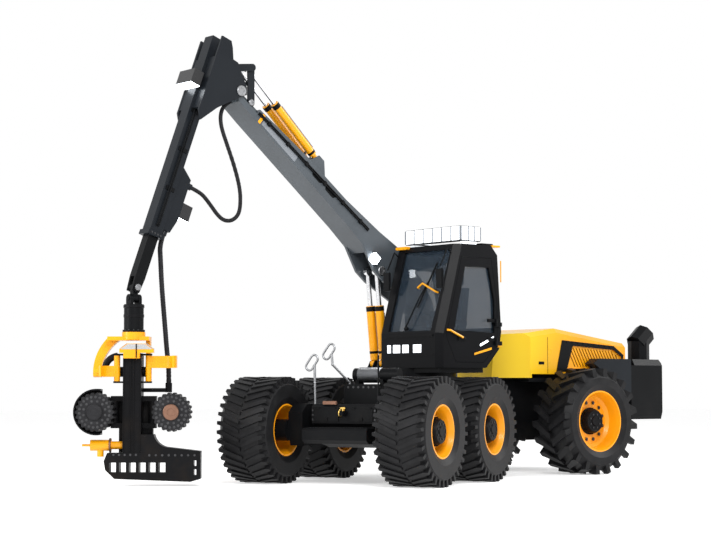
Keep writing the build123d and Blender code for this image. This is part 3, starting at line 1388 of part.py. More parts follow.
# Head frame: column with the tilt pin and knife ears, and the feed arms' carrier bolted on behind
knives = {"right": (1, 1600, 165, 590, -380), "left": (-1, 1480, 150, 420, -300)}
with BuildPart() as head_frame:
    block((-COLUMN_HALF, COLUMN_HALF), (COLUMN_FACE, COLUMN_BACK), (SAW_TOP, COLUMN_TOP))
    block((-ARM_X, ARM_X), (COLUMN_BACK + PIN_FIT, COLUMN_BACK + CARRIER_T), ARM_Z)
    block((-ARM_X + 65, ARM_X), (SAW_BACK + PIN_FIT, COLUMN_BACK), (SAW_TOP, ARM_Z[0] - PIN_FIT))
    bar((TILT_LEFT + 20, TILT_Y, FRAME_PIN_Z), (TILT_RIGHT - 5, TILT_Y, FRAME_PIN_Z), TILT_BOSS_R - 5)
    bar((TILT_LEFT - 115, TILT_Y, FRAME_PIN_Z), (TILT_RIGHT + 65, TILT_Y, FRAME_PIN_Z), FRAME_PIN_R)
    bar((0, SOCKET_Y, SOCKET_Z[0] + 30), (SOCKET_X, SOCKET_Y, SOCKET_Z[0] + 30), 28)
    bar((SOCKET_X, SOCKET_Y, SOCKET_Z[0]), (SOCKET_X, SOCKET_Y, SOCKET_Z[1]), GLAND_R)
    for side in (-1, 1):
        arm_ears = sorted((side * (COLUMN_HALF + PIN_FIT), side * (ARM_X + 45)))
        for low in (ARM_Z[0], ARM_Z[1] - ARM_EAR_T):
            block(arm_ears, (ARM_Y - 45, COLUMN_BACK + CARRIER_T / 2), (low, low + ARM_EAR_T))
        bar((side * ARM_X, ARM_Y, ARM_Z[0]), (side * ARM_X, ARM_Y, ARM_Z[1]), ARM_PIN_R)
        knife_ears = sorted((side * (COLUMN_HALF - OVERLAP), side * (KNIFE_X + 45)))
        for low in (KNIFE_HUB_Z[0] - KNIFE_EAR, KNIFE_HUB_Z[1]):
            ear_span = (low + PIN_FIT, low + KNIFE_EAR - PIN_FIT)
            block(knife_ears, (KNIFE_Y - 45, KNIFE_Y + 45), ear_span)
        bar(
            (side * KNIFE_X, KNIFE_Y, KNIFE_HUB_Z[0] - KNIFE_EAR / 2),
            (side * KNIFE_X, KNIFE_Y, KNIFE_HUB_Z[1] + KNIFE_EAR / 2),
            KNIFE_PIN_R,
        )
finish(head_frame, "head_frame", head_pose)

# Cover over the top of the column, with a ridge along its front
with BuildPart() as head_cover:
    slab_y(
        ((-165, 1805), (300, 1805), (300, 1850), (190, 1930), (-60, 1930), (-165, 1850)),
        COLUMN_FACE - COVER_T,
        COLUMN_FACE - PIN_FIT,
    )
    block((-110, 110), (COLUMN_FACE - COVER_T, COLUMN_FACE - PIN_FIT), (1730, 1815))
finish(head_cover, "head_cover", head_pose)

# Saw box: a long housing with a hollowed right shoulder and a row of square windows
with BuildPart() as saw_box:
    with BuildSketch(Plane.XZ.offset(-SAW_BACK)) as housing:
        with BuildLine():
            Polyline(
                (COLUMN_HALF + PIN_FIT, 700),
                (COLUMN_HALF + PIN_FIT, SAW_TOP - PIN_FIT),
                (-330, SAW_TOP - PIN_FIT),
                (-375, 340),
                (-355, 220),
                (-230, 100),
                (800, SAW_LOW),
                (SAW_END, SAW_LOW + 40),
                (SAW_END, 475),
                (470, 530),
            )
            ThreePointArc((470, 530), (370, 580), (300, 700))
            Line((300, 700), (COLUMN_HALF + PIN_FIT, 700))
        make_face()
    extrude(housing.sketch, amount=SAW_BACK - SAW_FRONT)
    for step in range(SLIT_COUNT):
        start = SLIT_START + step * SLIT_PITCH
        block((start, start + SLIT_W), (SAW_FRONT - OVERLAP, SAW_BACK + OVERLAP), SLIT_Z, mode=Mode.SUBTRACT)
    for low in (150, 270):
        block((840, 880), (SAW_FRONT - OVERLAP, SAW_BACK + OVERLAP), (low, low + 80), mode=Mode.SUBTRACT)
finish(saw_box, "saw_box", head_pose)

with BuildPart() as saw_motor:
    bar((-COLUMN_HALF - PIN_FIT, 0, 550), (-300, 0, 550), 55)
    bar((-575, 0, 550), (-290, 0, 550), 76)
    bar((-690, 0, 550), (-565, 0, 550), 16)
    bar((-440, 0, 395), (-440, 0, 540), 45)
finish(saw_motor, "saw_motor", head_pose)

# Upper knives: side, lowest height, blade height, reach to the side, reach to the stem
for name, (side, low, high, reach, depth) in knives.items():
    hub_mid = (KNIFE_HUB_Z[0] + KNIFE_HUB_Z[1]) / 2
    hub_h = KNIFE_HUB_Z[1] - KNIFE_HUB_Z[0]
    with BuildPart() as knife:
        with Locations((side * KNIFE_X, KNIFE_Y, hub_mid)):
            Cylinder(KNIFE_HUB_R, hub_h)
        with BuildSketch(Plane.XY.offset(low)) as blade:
            with BuildLine():
                root = (side * KNIFE_X, KNIFE_Y - 35)
                heel = (side * (reach - 110), KNIFE_Y + 35)
                tip_out = (side * reach, depth)
                tip_in = (side * (reach - 20), depth)
                throat = (side * (reach - 120), KNIFE_Y - 50)
                Polyline(throat, root, (side * KNIFE_X, KNIFE_Y + 35), heel)
                ThreePointArc(heel, (side * (reach - 5), KNIFE_Y - 60), tip_out)
                Line(tip_out, tip_in)
                ThreePointArc(tip_in, (side * (reach - 50), KNIFE_Y - 110), throat)
            make_face()
        extrude(blade.sketch, amount=high)
        with Locations((side * KNIFE_X, KNIFE_Y, hub_mid)):
            Cylinder(KNIFE_PIN_R + PIN_FIT, hub_h, mode=Mode.SUBTRACT)
    finish(knife, f"knife_{name}", head_pose)

# Feed arms and rollers: side, roller place, radius of the arm's shroud and its depth to the stem
motor_face = 5
feeds = (("right", 1, 550, ROLLER_R - TOOTH_H, SHROUD_T), ("left", -1, 480, SHROUD_R, SHROUD_DEPTH))
for name, side, roller_x, shroud_r, depth in feeds:
    middle = (side * roller_x, ROLLER_Z)
    shroud_back = motor_face + SHROUD_T
    with BuildPart() as feed_arm:
        cross_bar(middle, depth / 2, shroud_r, middle=shroud_back - depth / 2)
        cross_bar(middle, depth / 2, shroud_r - SHROUD_T, mode=Mode.SUBTRACT, middle=-depth / 2 + OVERLAP)
        cut_span = sorted((side * (roller_x - shroud_r - OVERLAP), side * (roller_x - 60)))
        deep = (shroud_back - depth - OVERLAP, shroud_back + OVERLAP)
        block(cut_span, deep, (ROLLER_Z - 400, ROLLER_Z + 400), mode=Mode.SUBTRACT)
        with Locations((side * ARM_X, ARM_Y, (ARM_Z[0] + ARM_Z[1]) / 2)):
            Cylinder(ARM_TUBE_R, ARM_Z[1] - ARM_Z[0] - 2 * ARM_EAR_T - 2)
        block(
            sorted((side * ARM_X, side * (roller_x + ARM_END))),
            (motor_face + OVERLAP, ARM_Y + 45),
            (ROLLER_Z - ARM_H / 2, ROLLER_Z + ARM_H / 2),
        )
        bar((middle[0], ARM_Y, middle[1]), (middle[0], motor_face, middle[1]), MOTOR_R)
        bar(
            (side * ARM_X, ARM_Y, ARM_Z[0]),
            (side * ARM_X, ARM_Y, ARM_Z[1]),
            ARM_PIN_R + PIN_FIT,
            mode=Mode.SUBTRACT,
        )
    finish(feed_arm, f"feed_arm_{name}", head_pose)
    teeth = []
    pitch = 2 * 180 / ROLLER_TEETH
    for step in range(ROLLER_TEETH):
        for share, radius in ((-0.5, ROLLER_R - TOOTH_H), (-0.12, ROLLER_R), (0.12, ROLLER_R)):
            angle = radians((step + share) * pitch)
            teeth.append((middle[0] + radius * cos(angle), middle[1] + radius * sin(angle)))
    with BuildPart() as roller:
        slab_y(teeth, -ROLLER_L, motor_face - ROLLER_GAP)
        bar((middle[0], -ROLLER_L - 20, middle[1]), (middle[0], -ROLLER_L, middle[1]), MOTOR_R)
    finish(roller, f"feed_roller_{name}", head_pose)


def hose_of(points, diameter):
    """Build a hose along a route, each corner rounded as far as its two runs allow."""
    route = [Vector(*point) for point in points]
    runs = [last - first for first, last in zip(route, route[1:])]
    radii = []
    for before, after in zip(runs, runs[1:]):
        shorter = min(before.length, after.length)
        radii.append(0.45 * shorter / tan(radians(before.get_angle(after) / 2)))
    with BuildPart() as hose:
        with BuildLine() as path:
            FilletPolyline(*route, radius=radii)
        with BuildSketch(Plane(origin=route[0], z_dir=runs[0])):
            Circle(diameter / 2)
        sweep(path=path.wires()[0])
    section = pi * diameter**2 / 4
    print("hose radii", [round(radius) for radius in radii], "length", round(hose.part.volume / section))
    return hose


# Crane hose: from the boom's gland round a hanging loop to the stick's guide; steps from the elbow pin
loop_steps = (
    (214, 94, -277),
    (233, 90, -385),
    (207, 84, -533),
    (101, 74, -760),
    (-45, 64, -1080),
    (-150, 54, -1395),
    (-155, 48, -1640),
    (-116, 43, -1763),
    (-13, 38, -1842),
    (116, 33, -1848),
    (225, 28, -1778),
    (335, 22, -1650),
    (460, 16, -1515),
)
guide_face = on_stick(GUIDE_GLAND, -gland_end - PIN_FIT)
before_guide = on_stick(GUIDE_GLAND, -gland_end - 130)
gland_l = hypot(hose_start[0] - boom_gland[0], hose_start[1] - boom_gland[1])
start_face = on_run(boom_gland, hose_start, gland_l + PIN_FIT)
after_start = on_run(boom_gland, hose_start, gland_l + 100)
crane_route = [(start_face[0], HOSE_Y, start_face[1]), (after_start[0], HOSE_Y, after_start[1])]
crane_route += [(elbow[0] + step[0], step[1], elbow[1] + step[2]) for step in loop_steps]
crane_route.append((before_guide[0], GUIDE_HOSE_Y, before_guide[1]))
crane_route.append((guide_face[0], GUIDE_HOSE_Y, guide_face[1]))
finish(hose_of(crane_route, HOSE_D), "crane_hose", crane_pose)

# Head hose: from the end of the guide down to the head's socket; share of the way, bow forward
bows = ((0.16, 52), (0.32, 50), (0.48, 36), (0.64, 20), (0.79, 8))
yaw = radians(HEAD_YAW)
top = on_stick(GUIDE_END + GLAND_L + PIN_FIT, -HEAD_HOSE_BACK)
low = (
    tip[0] + SOCKET_X * cos(yaw) - SOCKET_Y * sin(yaw),
    SOCKET_X * sin(yaw) + SOCKET_Y * cos(yaw),
    tip[1] - HEAD_HANG + SOCKET_Z[1] + PIN_FIT,
)
after_top = on_stick(GUIDE_END + GLAND_L + 150, -HEAD_HOSE_BACK)
head_route = [(top[0], 0, top[1]), (after_top[0], 0, after_top[1])]
for share, bow in bows:
    head_route.append(
        (
            top[0] + (low[0] - top[0]) * share + bow,
            low[1] * share**1.1,
            top[1] + (low[2] - top[1]) * share,
        )
    )
head_route += [(low[0], low[1], low[2] + 210), low]
finish(hose_of(head_route, HEAD_HOSE_D), "head_hose", crane_pose)
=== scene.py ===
import json
import math
import bmesh
import bpy
from mathutils import Matrix, Vector


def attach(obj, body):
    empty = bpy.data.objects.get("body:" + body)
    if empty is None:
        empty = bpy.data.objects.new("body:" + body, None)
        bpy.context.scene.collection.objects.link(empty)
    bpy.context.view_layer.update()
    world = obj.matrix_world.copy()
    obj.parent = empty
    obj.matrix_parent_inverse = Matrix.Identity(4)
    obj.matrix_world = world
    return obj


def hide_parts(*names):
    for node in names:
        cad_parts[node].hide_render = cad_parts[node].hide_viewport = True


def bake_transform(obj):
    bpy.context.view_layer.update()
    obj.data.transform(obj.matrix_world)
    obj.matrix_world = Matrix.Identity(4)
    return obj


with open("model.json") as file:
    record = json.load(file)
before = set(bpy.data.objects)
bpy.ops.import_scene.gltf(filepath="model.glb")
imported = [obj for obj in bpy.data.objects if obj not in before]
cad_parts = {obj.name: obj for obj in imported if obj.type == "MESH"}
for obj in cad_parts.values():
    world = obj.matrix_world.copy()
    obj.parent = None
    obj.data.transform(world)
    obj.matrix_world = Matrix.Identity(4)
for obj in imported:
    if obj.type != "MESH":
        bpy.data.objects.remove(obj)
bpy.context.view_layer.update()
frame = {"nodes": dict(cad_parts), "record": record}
nodes = frame["nodes"]
record = frame["record"]
print("frame loaded:", len(nodes), "nodes")


# Shader maths: a wrapped socket that adds Math nodes as it is used in an expression
class Wire:
    def __init__(self, tree, socket):
        self.tree = tree
        self.socket = socket

    def maths(self, operation, first, second):
        node = self.tree.nodes.new("ShaderNodeMath")
        node.operation = operation
        for index, value in enumerate((first, second)):
            if isinstance(value, Wire):
                self.tree.links.new(value.socket, node.inputs[index])
            else:
                node.inputs[index].default_value = value
        return Wire(self.tree, node.outputs[0])

    def __add__(self, other):
        return self.maths("ADD", self, other)

    def __radd__(self, other):
        return self.maths("ADD", other, self)

    def __rsub__(self, other):
        return self.maths("SUBTRACT", other, self)

    def __mul__(self, other):
        return self.maths("MULTIPLY", self, other)

    def __rmul__(self, other):
        return self.maths("MULTIPLY", other, self)

    def __gt__(self, other):
        return self.maths("GREATER_THAN", self, other)


# One finish: a material with its tree, its shader and a single way to add nodes
class Finish:
    def __init__(self, name, **shaderValues):
        self.material = bpy.data.materials.new(name)
        self.material.use_nodes = True
        self.tree = self.material.node_tree
        self.shader = self.tree.nodes["Principled BSDF"]
        for label, value in shaderValues.items():
            self.shader.inputs[label.replace("_", " ")].default_value = value
        self.place = None

    def node(self, kind, settings=None, out=0, **sockets):
        made = self.tree.nodes.new("ShaderNode" + kind)
        for label, value in (settings or {}).items():
            setattr(made, label, value)
        for label, value in sockets.items():
            key = int(label[1:]) if label[1:].isdigit() else label.replace("_", " ")
            if isinstance(value, Wire):
                self.tree.links.new(value.socket, made.inputs[key])
            else:
                made.inputs[key].default_value = value
        return Wire(self.tree, made.outputs[out])

    def feed(self, **sockets):
        for label, value in sockets.items():
            self.tree.links.new(value.socket, self.shader.inputs[label.replace("_", " ")])

    def coords(self):
        if self.place is None:
            self.place = self.node("TexCoord", out=3)
        return self.place

    def height(self):
        return self.node("SeparateXYZ", out=2, Vector=self.coords())

    def noise(self, scale, detail=3.0):
        return self.node("TexNoise", Vector=self.coords(), Scale=scale, Detail=detail, Roughness=0.55)

    def spread(self, value, low, high):
        return self.node("MapRange", s0=value, s1=low, s2=high, s3=0.0, s4=1.0)

    def mix(self, share, first, second):
        shades = [(*shade, 1) if isinstance(shade, tuple) else shade for shade in (first, second)]
        return self.node("Mix", {"data_type": "RGBA"}, out=2, s0=share, s6=shades[0], s7=shades[1])

    def bump(self, height, strength, distance):
        return self.node("Bump", Height=height, Strength=strength, Distance=distance)


# Sprayed machine paint: a slight flow in the gloss, fine orange peel and dust in the low places; where asked,
# painted light as a lighter tone toward the front
def sprayedPaint(name, colour, rough, dustTop, coat=0.0, specular=0.5, peel=0.06, dustShare=0.22,
                 dustColour=(0.19, 0.16, 0.13), paintedLightSpan=None, paintedLightColour=None):
    paint = Finish(name, Metallic=0.0, IOR=1.5, Coat_Roughness=0.08, Coat_Weight=coat,
                   Specular_IOR_Level=specular)
    flow = paint.noise(1.7)
    grain = paint.noise(260.0, 2.0)
    dust = paint.spread(paint.noise(3.1, 5.0), 0.48, 0.78) * paint.spread(paint.height(), dustTop, 0.15)
    deep = tuple(channel * 0.86 for channel in colour)
    base = paint.mix(paint.spread(flow, 0.35, 0.7), deep, colour)
    # painted light: toward the front the yellow turns a lighter lemon tone, standing for the light that falls
    # there
    if paintedLightSpan:  # a second shade toward the front
        along = paint.node("SeparateXYZ", out=0, Vector=paint.coords())
        base = paint.mix(paint.spread(along, *paintedLightSpan), base, paintedLightColour)
    paint.feed(Base_Color=paint.mix(dust * dustShare, base, dustColour))
    paint.feed(Roughness=rough + 0.10 * flow + 0.25 * dust)
    paint.feed(Normal=paint.bump(grain, peel, 0.002))
    return paint.material


def tyreRubber(name):
    rubber = Finish(name, IOR=1.45, Specular_IOR_Level=0.16)
    blotch = rubber.noise(5.0, 5.0)
    grain = rubber.noise(340.0, 2.0)
    dust = rubber.spread(rubber.noise(9.0, 6.0), 0.52, 0.75)
    base = rubber.mix(rubber.spread(blotch, 0.3, 0.7), (0.005, 0.005, 0.0055), (0.010, 0.010, 0.011))
    rubber.feed(Base_Color=rubber.mix(dust * 0.18, base, (0.035, 0.033, 0.031)))
    rubber.feed(Roughness=0.36 + 0.2 * blotch + 0.1 * dust)
    rubber.feed(Normal=rubber.bump(grain, 0.15, 0.002))
    return rubber.material


def brightMetal(name, dull, bright, rough):
    rod = Finish(name, Metallic=1.0)
    film = rod.noise(14.0, 4.0)
    rod.feed(Base_Color=rod.mix(film, dull, bright))
    rod.feed(Roughness=rough + 0.16 * film)
    return rod.material


def castIron(name, colour, metal=0.25, rough=0.4):
    iron = Finish(name, Metallic=metal, Specular_IOR_Level=0.12)
    pits = iron.noise(90.0, 4.0)
    stain = iron.noise(6.0, 4.0)
    iron.feed(Base_Color=iron.mix(iron.spread(stain, 0.35, 0.7), colour, tuple(c * 1.8 for c in colour)))
    iron.feed(Roughness=rough + 0.2 * pits)
    iron.feed(Normal=iron.bump(pits, 0.25, 0.003))
    return iron.material


def tintedPane(name):
    pane = Finish(name, Metallic=0.0, Roughness=0.03, IOR=1.5)
    smear = pane.noise(4.0, 4.0)
    pane.feed(Base_Color=pane.mix(smear, (0.012, 0.020, 0.030), (0.030, 0.046, 0.066)))
    pane.feed(Alpha=0.40 + 0.14 * smear)
    return pane.material


def seatCloth(name):
    cloth = Finish(name, Roughness=0.85)
    weave = cloth.node("TexWave", {"wave_type": "BANDS"}, Vector=cloth.coords(), Scale=160.0, Distortion=1.5)
    cloth.feed(Base_Color=cloth.mix(weave, (0.016, 0.016, 0.018), (0.040, 0.040, 0.044)))
    cloth.feed(Normal=cloth.bump(weave, 0.3, 0.002))
    return cloth.material


# A lamp: its lens glows on the faces that look the given ways, and the rest is a dark housing
def litLens(name, strength, facings):
    lens = Finish(name, Roughness=0.12)
    normal = lens.node("TexCoord", out=1)
    glow = None
    for facing in facings:
        toward = lens.node("VectorMath", {"operation": "DOT_PRODUCT"}, out=1, s0=normal, s1=facing) > 0.7
        glow = toward if glow is None else toward.maths("MAXIMUM", toward, glow)
    facets = lens.node("TexVoronoi", Vector=lens.coords(), Scale=42.0)
    glass = lens.mix(facets, (0.80, 0.86, 0.92), (0.95, 0.97, 1.0))
    light = lens.mix(facets, (1.0, 1.0, 1.0), (0.82, 0.91, 1.0))
    lens.feed(Base_Color=lens.mix(glow, (0.012, 0.012, 0.013), glass))
    lens.feed(Emission_Color=lens.mix(glow, (0.0, 0.0, 0.0), light))
    lens.shader.inputs["Emission Strength"].default_value = strength
    return lens.material


def clearPlastic(name, colour, glow):
    plastic = Finish(name, Roughness=0.18)
    ribs = plastic.node("TexWave", {"wave_type": "BANDS"}, Vector=plastic.coords(), Scale=60.0)
    plastic.feed(Base_Color=plastic.mix(ribs, tuple(c * 0.6 for c in colour), colour))
    plastic.shader.inputs["Emission Color"].default_value = (*colour, 1)
    plastic.shader.inputs["Emission Strength"].default_value = glow
    return plastic.material


# Ways that the crane's lamps look
stickDown = (0.3453, 0.0, -0.9385)
boomDown = (0.6388, 0.0, -0.7694)
finishes = {  # the record's slots, then finishes that single nodes and pieces take instead
    "yellow": sprayedPaint("machineYellow", (0.82, 0.345, 0.0025), 0.26, 1.3, coat=0.12, specular=0.3),
    "black": sprayedPaint("frameBlack", (0.0045, 0.0048, 0.0054), 0.32, 1.5, specular=0.07, peel=0.10,
                          dustShare=0.03),
    "slate": sprayedPaint("craneSlate", (0.0095, 0.0115, 0.0145), 0.26, 0.6, specular=0.12),
    "tyre": tyreRubber("tyreRubber"),
    "rim": sprayedPaint("rimYellow", (0.86, 0.32, 0.003), 0.30, 1.4, coat=0.10, specular=0.3),
    "glass": tintedPane("cabGlass"),
    "steel": brightMetal("chromeRod", (0.62, 0.63, 0.65), (0.80, 0.80, 0.81), 0.10),
    "iron": castIron("rollerIron", (0.012, 0.012, 0.013)),
    "lamp": litLens("roofLamp", 0.85, ((1.0, 0.0, 0.0), (0.0, 1.0, 0.0))),
    "seat": seatCloth("seatCloth"),
    "hose": castIron("hoseRubber", (0.008, 0.008, 0.009), metal=0.0, rough=0.45),
    "cabGloss": sprayedPaint("cabGloss", (0.0040, 0.0042, 0.0050), 0.26, 1.4, specular=0.07, dustShare=0.03),
    "headBlack": sprayedPaint("headBlack", (0.0055, 0.0055, 0.0062), 0.34, 1.6, specular=0.07, dustShare=0.10,
                              dustColour=(0.075, 0.045, 0.020)),
    "copper": brightMetal("wornCopper", (0.15, 0.080, 0.055), (0.24, 0.135, 0.095), 0.42),
    "brass": brightMetal("brassLatch", (0.55, 0.36, 0.09), (0.75, 0.52, 0.16), 0.22),
    "brushed": brightMetal("brushedSteel", (0.20, 0.205, 0.215), (0.34, 0.345, 0.355), 0.30),
    "gunmetal": brightMetal("gunmetalBolt", (0.035, 0.035, 0.037), (0.085, 0.085, 0.088), 0.36),
    # main_boom takes a lighter copy of the crane's slate paint: painted light, standing for the light that
    # falls on the boom
    "boomLitSlate": sprayedPaint("boomLitSlate", (0.060, 0.070, 0.080), 0.24, 0.6, specular=0.3),
    # the hood's yellow carries painted light: a lighter lemon tone toward its front
    "hoodYellow": sprayedPaint("hoodYellow", (0.80, 0.315, 0.0025), 0.24, 1.3, coat=0.12, specular=0.3,
                               paintedLightSpan=(-3.1, -2.1), paintedLightColour=(0.70, 0.46, 0.004)),
    "red": clearPlastic("redLens", (0.55, 0.012, 0.008), 0.1),
    "panel": sprayedPaint("panelGrey", (0.16, 0.175, 0.195), 0.30, 0.6, coat=0.2),
    "pale": sprayedPaint("palePanel", (0.36, 0.365, 0.37), 0.30, 0.6),
    "strip": clearPlastic("stripLamp", (0.92, 0.96, 1.0), 4.0),
    "stickLamp": litLens("stickLamp", 9.0, (stickDown,)),
    "boomLamp": litLens("boomLamp", 14.0, (boomDown, (1.0, 0.0, 0.0), (0.0, 1.0, 0.0))),
}
nodeFinishes = {
    "cab_shell": "cabGloss", "cab_door": "cabGloss", "head_frame": "headBlack", "saw_box": "headBlack",
    "feed_arm_left": "headBlack", "feed_arm_right": "headBlack", "stick_lamps": "stickLamp",
    "boom_lamp": "boomLamp", "front_rails": "brushed", "main_boom": "boomLitSlate", "hood": "hoodYellow",
}
for part in record["subparts"]:
    slots = nodes[part["node"]].data.materials
    slots.clear()
    slots.append(finishes[nodeFinishes.get(part["node"], part["material_slot"])])
print("finishes set on", len(record["subparts"]), "nodes")


# Camera at the photograph's place, from the fitted distance, height and heading
cameraPlan = {"place": (17.622, 19.835, 1.299), "heading": 230.57, "pitch": 3.86, "focalPixels": 1795.74,
              "width": 711}


def setCamera(plan):
    lens = bpy.data.cameras.new("photoCamera")
    lens.sensor_width = 36.0
    lens.lens = plan["focalPixels"] / plan["width"] * lens.sensor_width
    lens.clip_end = 200.0
    camera = bpy.data.objects.new("photoCamera", lens)
    camera.location = plan["place"]
    camera.rotation_euler = (math.radians(90 + plan["pitch"]), 0, math.radians(plan["heading"] - 90))
    bpy.context.scene.collection.objects.link(camera)
    bpy.context.scene.camera = camera


setCamera(cameraPlan)
print("camera set")


# Places of the machine's frames, in metres, as the part's source gives them
def upright(turn):
    return Matrix.Rotation(math.radians(turn), 4, "Z")


def leaning(turn):
    return Matrix.Rotation(math.radians(turn), 4, "Y")


def outward(side):  # turns a piece made for the left side to face the side given by a sign
    return upright(0 if side > 0 else 180)


def sided(side, near, far):
    return sorted((side * near, side * far))


def circle(count):
    return [math.tau * step / count for step in range(count + 1)]


places = {
    "bogie": (1.21715, 0.22516, 0), "steer": 22.86, "slewBack": 1.575, "hingeBack": 2.47,
    "craneAcross": -0.69, "boomFoot": (-0.59, 0, 2.58), "boomAngle": 39.7, "boomLength": 4.66,
    "stickAngle": 69.8, "stickBack": 0.511, "stickReach": 3.23, "headHang": 2.702, "headYaw": 140.6,
}
leftward = Vector((0, 1, 0))
onEnd = Matrix.Rotation(math.pi / 2, 4, "X")
frontPose = Matrix.Translation(places["bogie"]) @ upright(places["steer"])
slewPose = Matrix.Translation(frontPose @ Vector((-places["slewBack"], 0, 0)))
rearPose = Matrix.Translation(frontPose @ Vector((-places["hingeBack"], 0, 0)))
cranePose = slewPose @ Matrix.Translation((0, places["craneAcross"], 0))
boomPose = cranePose @ Matrix.Translation(places["boomFoot"]) @ leaning(-places["boomAngle"])
elbowPose = boomPose @ Matrix.Translation((places["boomLength"], 0, 0))
stickTurn = leaning(places["boomAngle"] + places["stickAngle"])
stickPose = elbowPose @ stickTurn @ Matrix.Translation((0, 0, places["stickBack"]))
tipPlace = stickPose @ Vector((places["stickReach"], 0, 0))
headPose = Matrix.Translation(tipPlace - Vector((0, 0, places["headHang"]))) @ upright(places["headYaw"])


def linked(name, mesh):
    piece = bpy.data.objects.new(name, mesh)
    bpy.context.scene.collection.objects.link(piece)
    return piece


def smoothed(mesh):
    mesh.polygons.foreach_set("use_smooth", [True] * len(mesh.polygons))
    mesh.set_sharp_from_angle(angle=math.radians(35.0))


# One piece in the making: shapes are added in a local frame, then placed in the row frame
class Forge:
    def __init__(self, pose):
        self.pose = pose
        self.mesh = bmesh.new()

    def box(self, low, high, bevel=0.004, turn=Matrix()):
        middle = [(a + b) / 2 for a, b in zip(low, high)]
        size = [abs(b - a) for a, b in zip(low, high)]
        place = turn @ Matrix.Translation(middle) @ Matrix.Diagonal((*size, 1))
        made = bmesh.ops.create_cube(self.mesh, size=1.0, matrix=place)["verts"]
        edges = list({edge for vertex in made for edge in vertex.link_edges})
        bmesh.ops.bevel(self.mesh, geom=edges, offset=min(bevel, 0.3 * min(size)), segments=2, affect="EDGES")
        return self

    def boxes(self, rows):  # low corner, high corner, bevel
        for low, high, bevel in rows:
            self.box(low, high, bevel)
        return self

    def skin(self, rings, closed=True):
        for before, after in zip(rings, rings[1:]):
            for step in range(len(before)):
                afterStep = (step + 1) % len(before)
                self.mesh.faces.new((before[step], before[afterStep], after[afterStep], after[step]))
        if closed:
            self.mesh.faces.new(list(reversed(rings[0])))
            self.mesh.faces.new(rings[-1])

    def lathe(self, profile, sides, turn=Matrix(), loop=False):  # (along, radius) about the local Y axis
        rings = []
        for along, radius in profile:
            angles = [math.tau * step / sides for step in range(sides)]
            places = [Vector((radius * math.sin(a), along, radius * math.cos(a))) for a in angles]
            rings.append([self.mesh.verts.new(turn @ place) for place in places])
        self.skin(rings + rings[:1] if loop else rings, closed=not loop)
        return self

    def tube(self, points, radii, sides=10):
        points = [Vector(point) for point in points]
        radii = radii if isinstance(radii, list) else [radii] * len(points)
        side = (points[1] - points[0]).orthogonal().normalized()
        rings = []
        for index, (point, radius) in enumerate(zip(points, radii)):
            ahead = (points[min(index + 1, len(points) - 1)] - points[max(index - 1, 0)]).normalized()
            side = (side - ahead * side.dot(ahead)).normalized()
            other = ahead.cross(side)
            angles = [math.tau * step / sides for step in range(sides)]
            rings.append([self.mesh.verts.new(point + radius * (side * math.cos(a) + other * math.sin(a)))
                          for a in angles])
        self.skin(rings)
        return self

    def plate(self, outline, low, high, turn=Matrix()):  # (x, z) outline drawn out along Y
        near = [self.mesh.verts.new(turn @ Vector((x, low, z))) for x, z in outline]
        far = [self.mesh.verts.new(turn @ Vector((x, high, z))) for x, z in outline]
        self.skin([near, far])
        return self

    def done(self, name, body, slot, finish=None, ride=True):
        bmesh.ops.recalc_face_normals(self.mesh, faces=self.mesh.faces)
        self.mesh.transform(self.pose)
        mesh = bpy.data.meshes.new(name)
        self.mesh.to_mesh(mesh)
        self.mesh.free()
        smoothed(mesh)
        mesh.materials.append(finishes[finish or slot])
        piece = linked(name, mesh)
        if ride:
            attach(piece, body)
        return piece


# Hoses: routes as in the part's source, with a ribbed guard over each
craneHose = {
    "name": "craneHose", "node": "crane_hose", "diameter": 0.060, "length": 2.734, "rib": 0.016,
    "bodies": ("boom", "stick"),
    "route": (
        (2.8365, -0.9767, 5.4160), (2.9208, -0.9767, 5.3628), (2.9753, -0.9827, 5.2797),
        (2.9943, -0.9867, 5.1717), (2.9683, -0.9927, 5.0237), (2.8623, -1.0027, 4.7967),
        (2.7163, -1.0127, 4.4767), (2.6113, -1.0227, 4.1617), (2.6063, -1.0287, 3.9167),
        (2.6453, -1.0337, 3.7937), (2.7483, -1.0387, 3.7147), (2.8773, -1.0437, 3.7087),
        (2.9863, -1.0487, 3.7787), (3.0963, -1.0547, 3.9067), (3.2213, -1.0607, 4.0417),
        (3.3196, -1.0667, 4.0999), (3.4414, -1.0667, 4.1446)),
}
headHose = {
    "name": "headHose", "node": "head_hose", "diameter": 0.072, "length": 2.066, "rib": 0.018,
    "bodies": ("stick", "extension"),
    "route": (
        (3.8922, -1.0767, 3.4471), (3.9439, -1.0767, 3.3066), (3.9461, -1.0514, 3.1196),
        (3.9460, -1.0224, 2.7921), (3.9339, -0.9919, 2.4645), (3.9198, -0.9603, 2.1370),
        (3.9096, -0.9300, 1.8300), (3.9041, -0.8866, 1.6101), (3.9041, -0.8866, 1.4001)),
}


def splinePoints(route):
    curve = bpy.data.curves.new("routeLine", "CURVE")
    curve.dimensions = "3D"
    curve.resolution_u = 24
    spline = curve.splines.new("NURBS")
    spline.points.add(len(route) - 1)
    for point, place in zip(spline.points, route):
        point.co = (*place, 1)
    spline.order_u = 3
    spline.use_endpoint_u = True
    holder = linked("routeLine", curve)
    line = bpy.data.meshes.new_from_object(holder.evaluated_get(bpy.context.evaluated_depsgraph_get()))
    points = [vertex.co.copy() for vertex in line.vertices]
    bpy.data.objects.remove(holder)
    bpy.data.curves.remove(curve)
    bpy.data.meshes.remove(line)
    return points


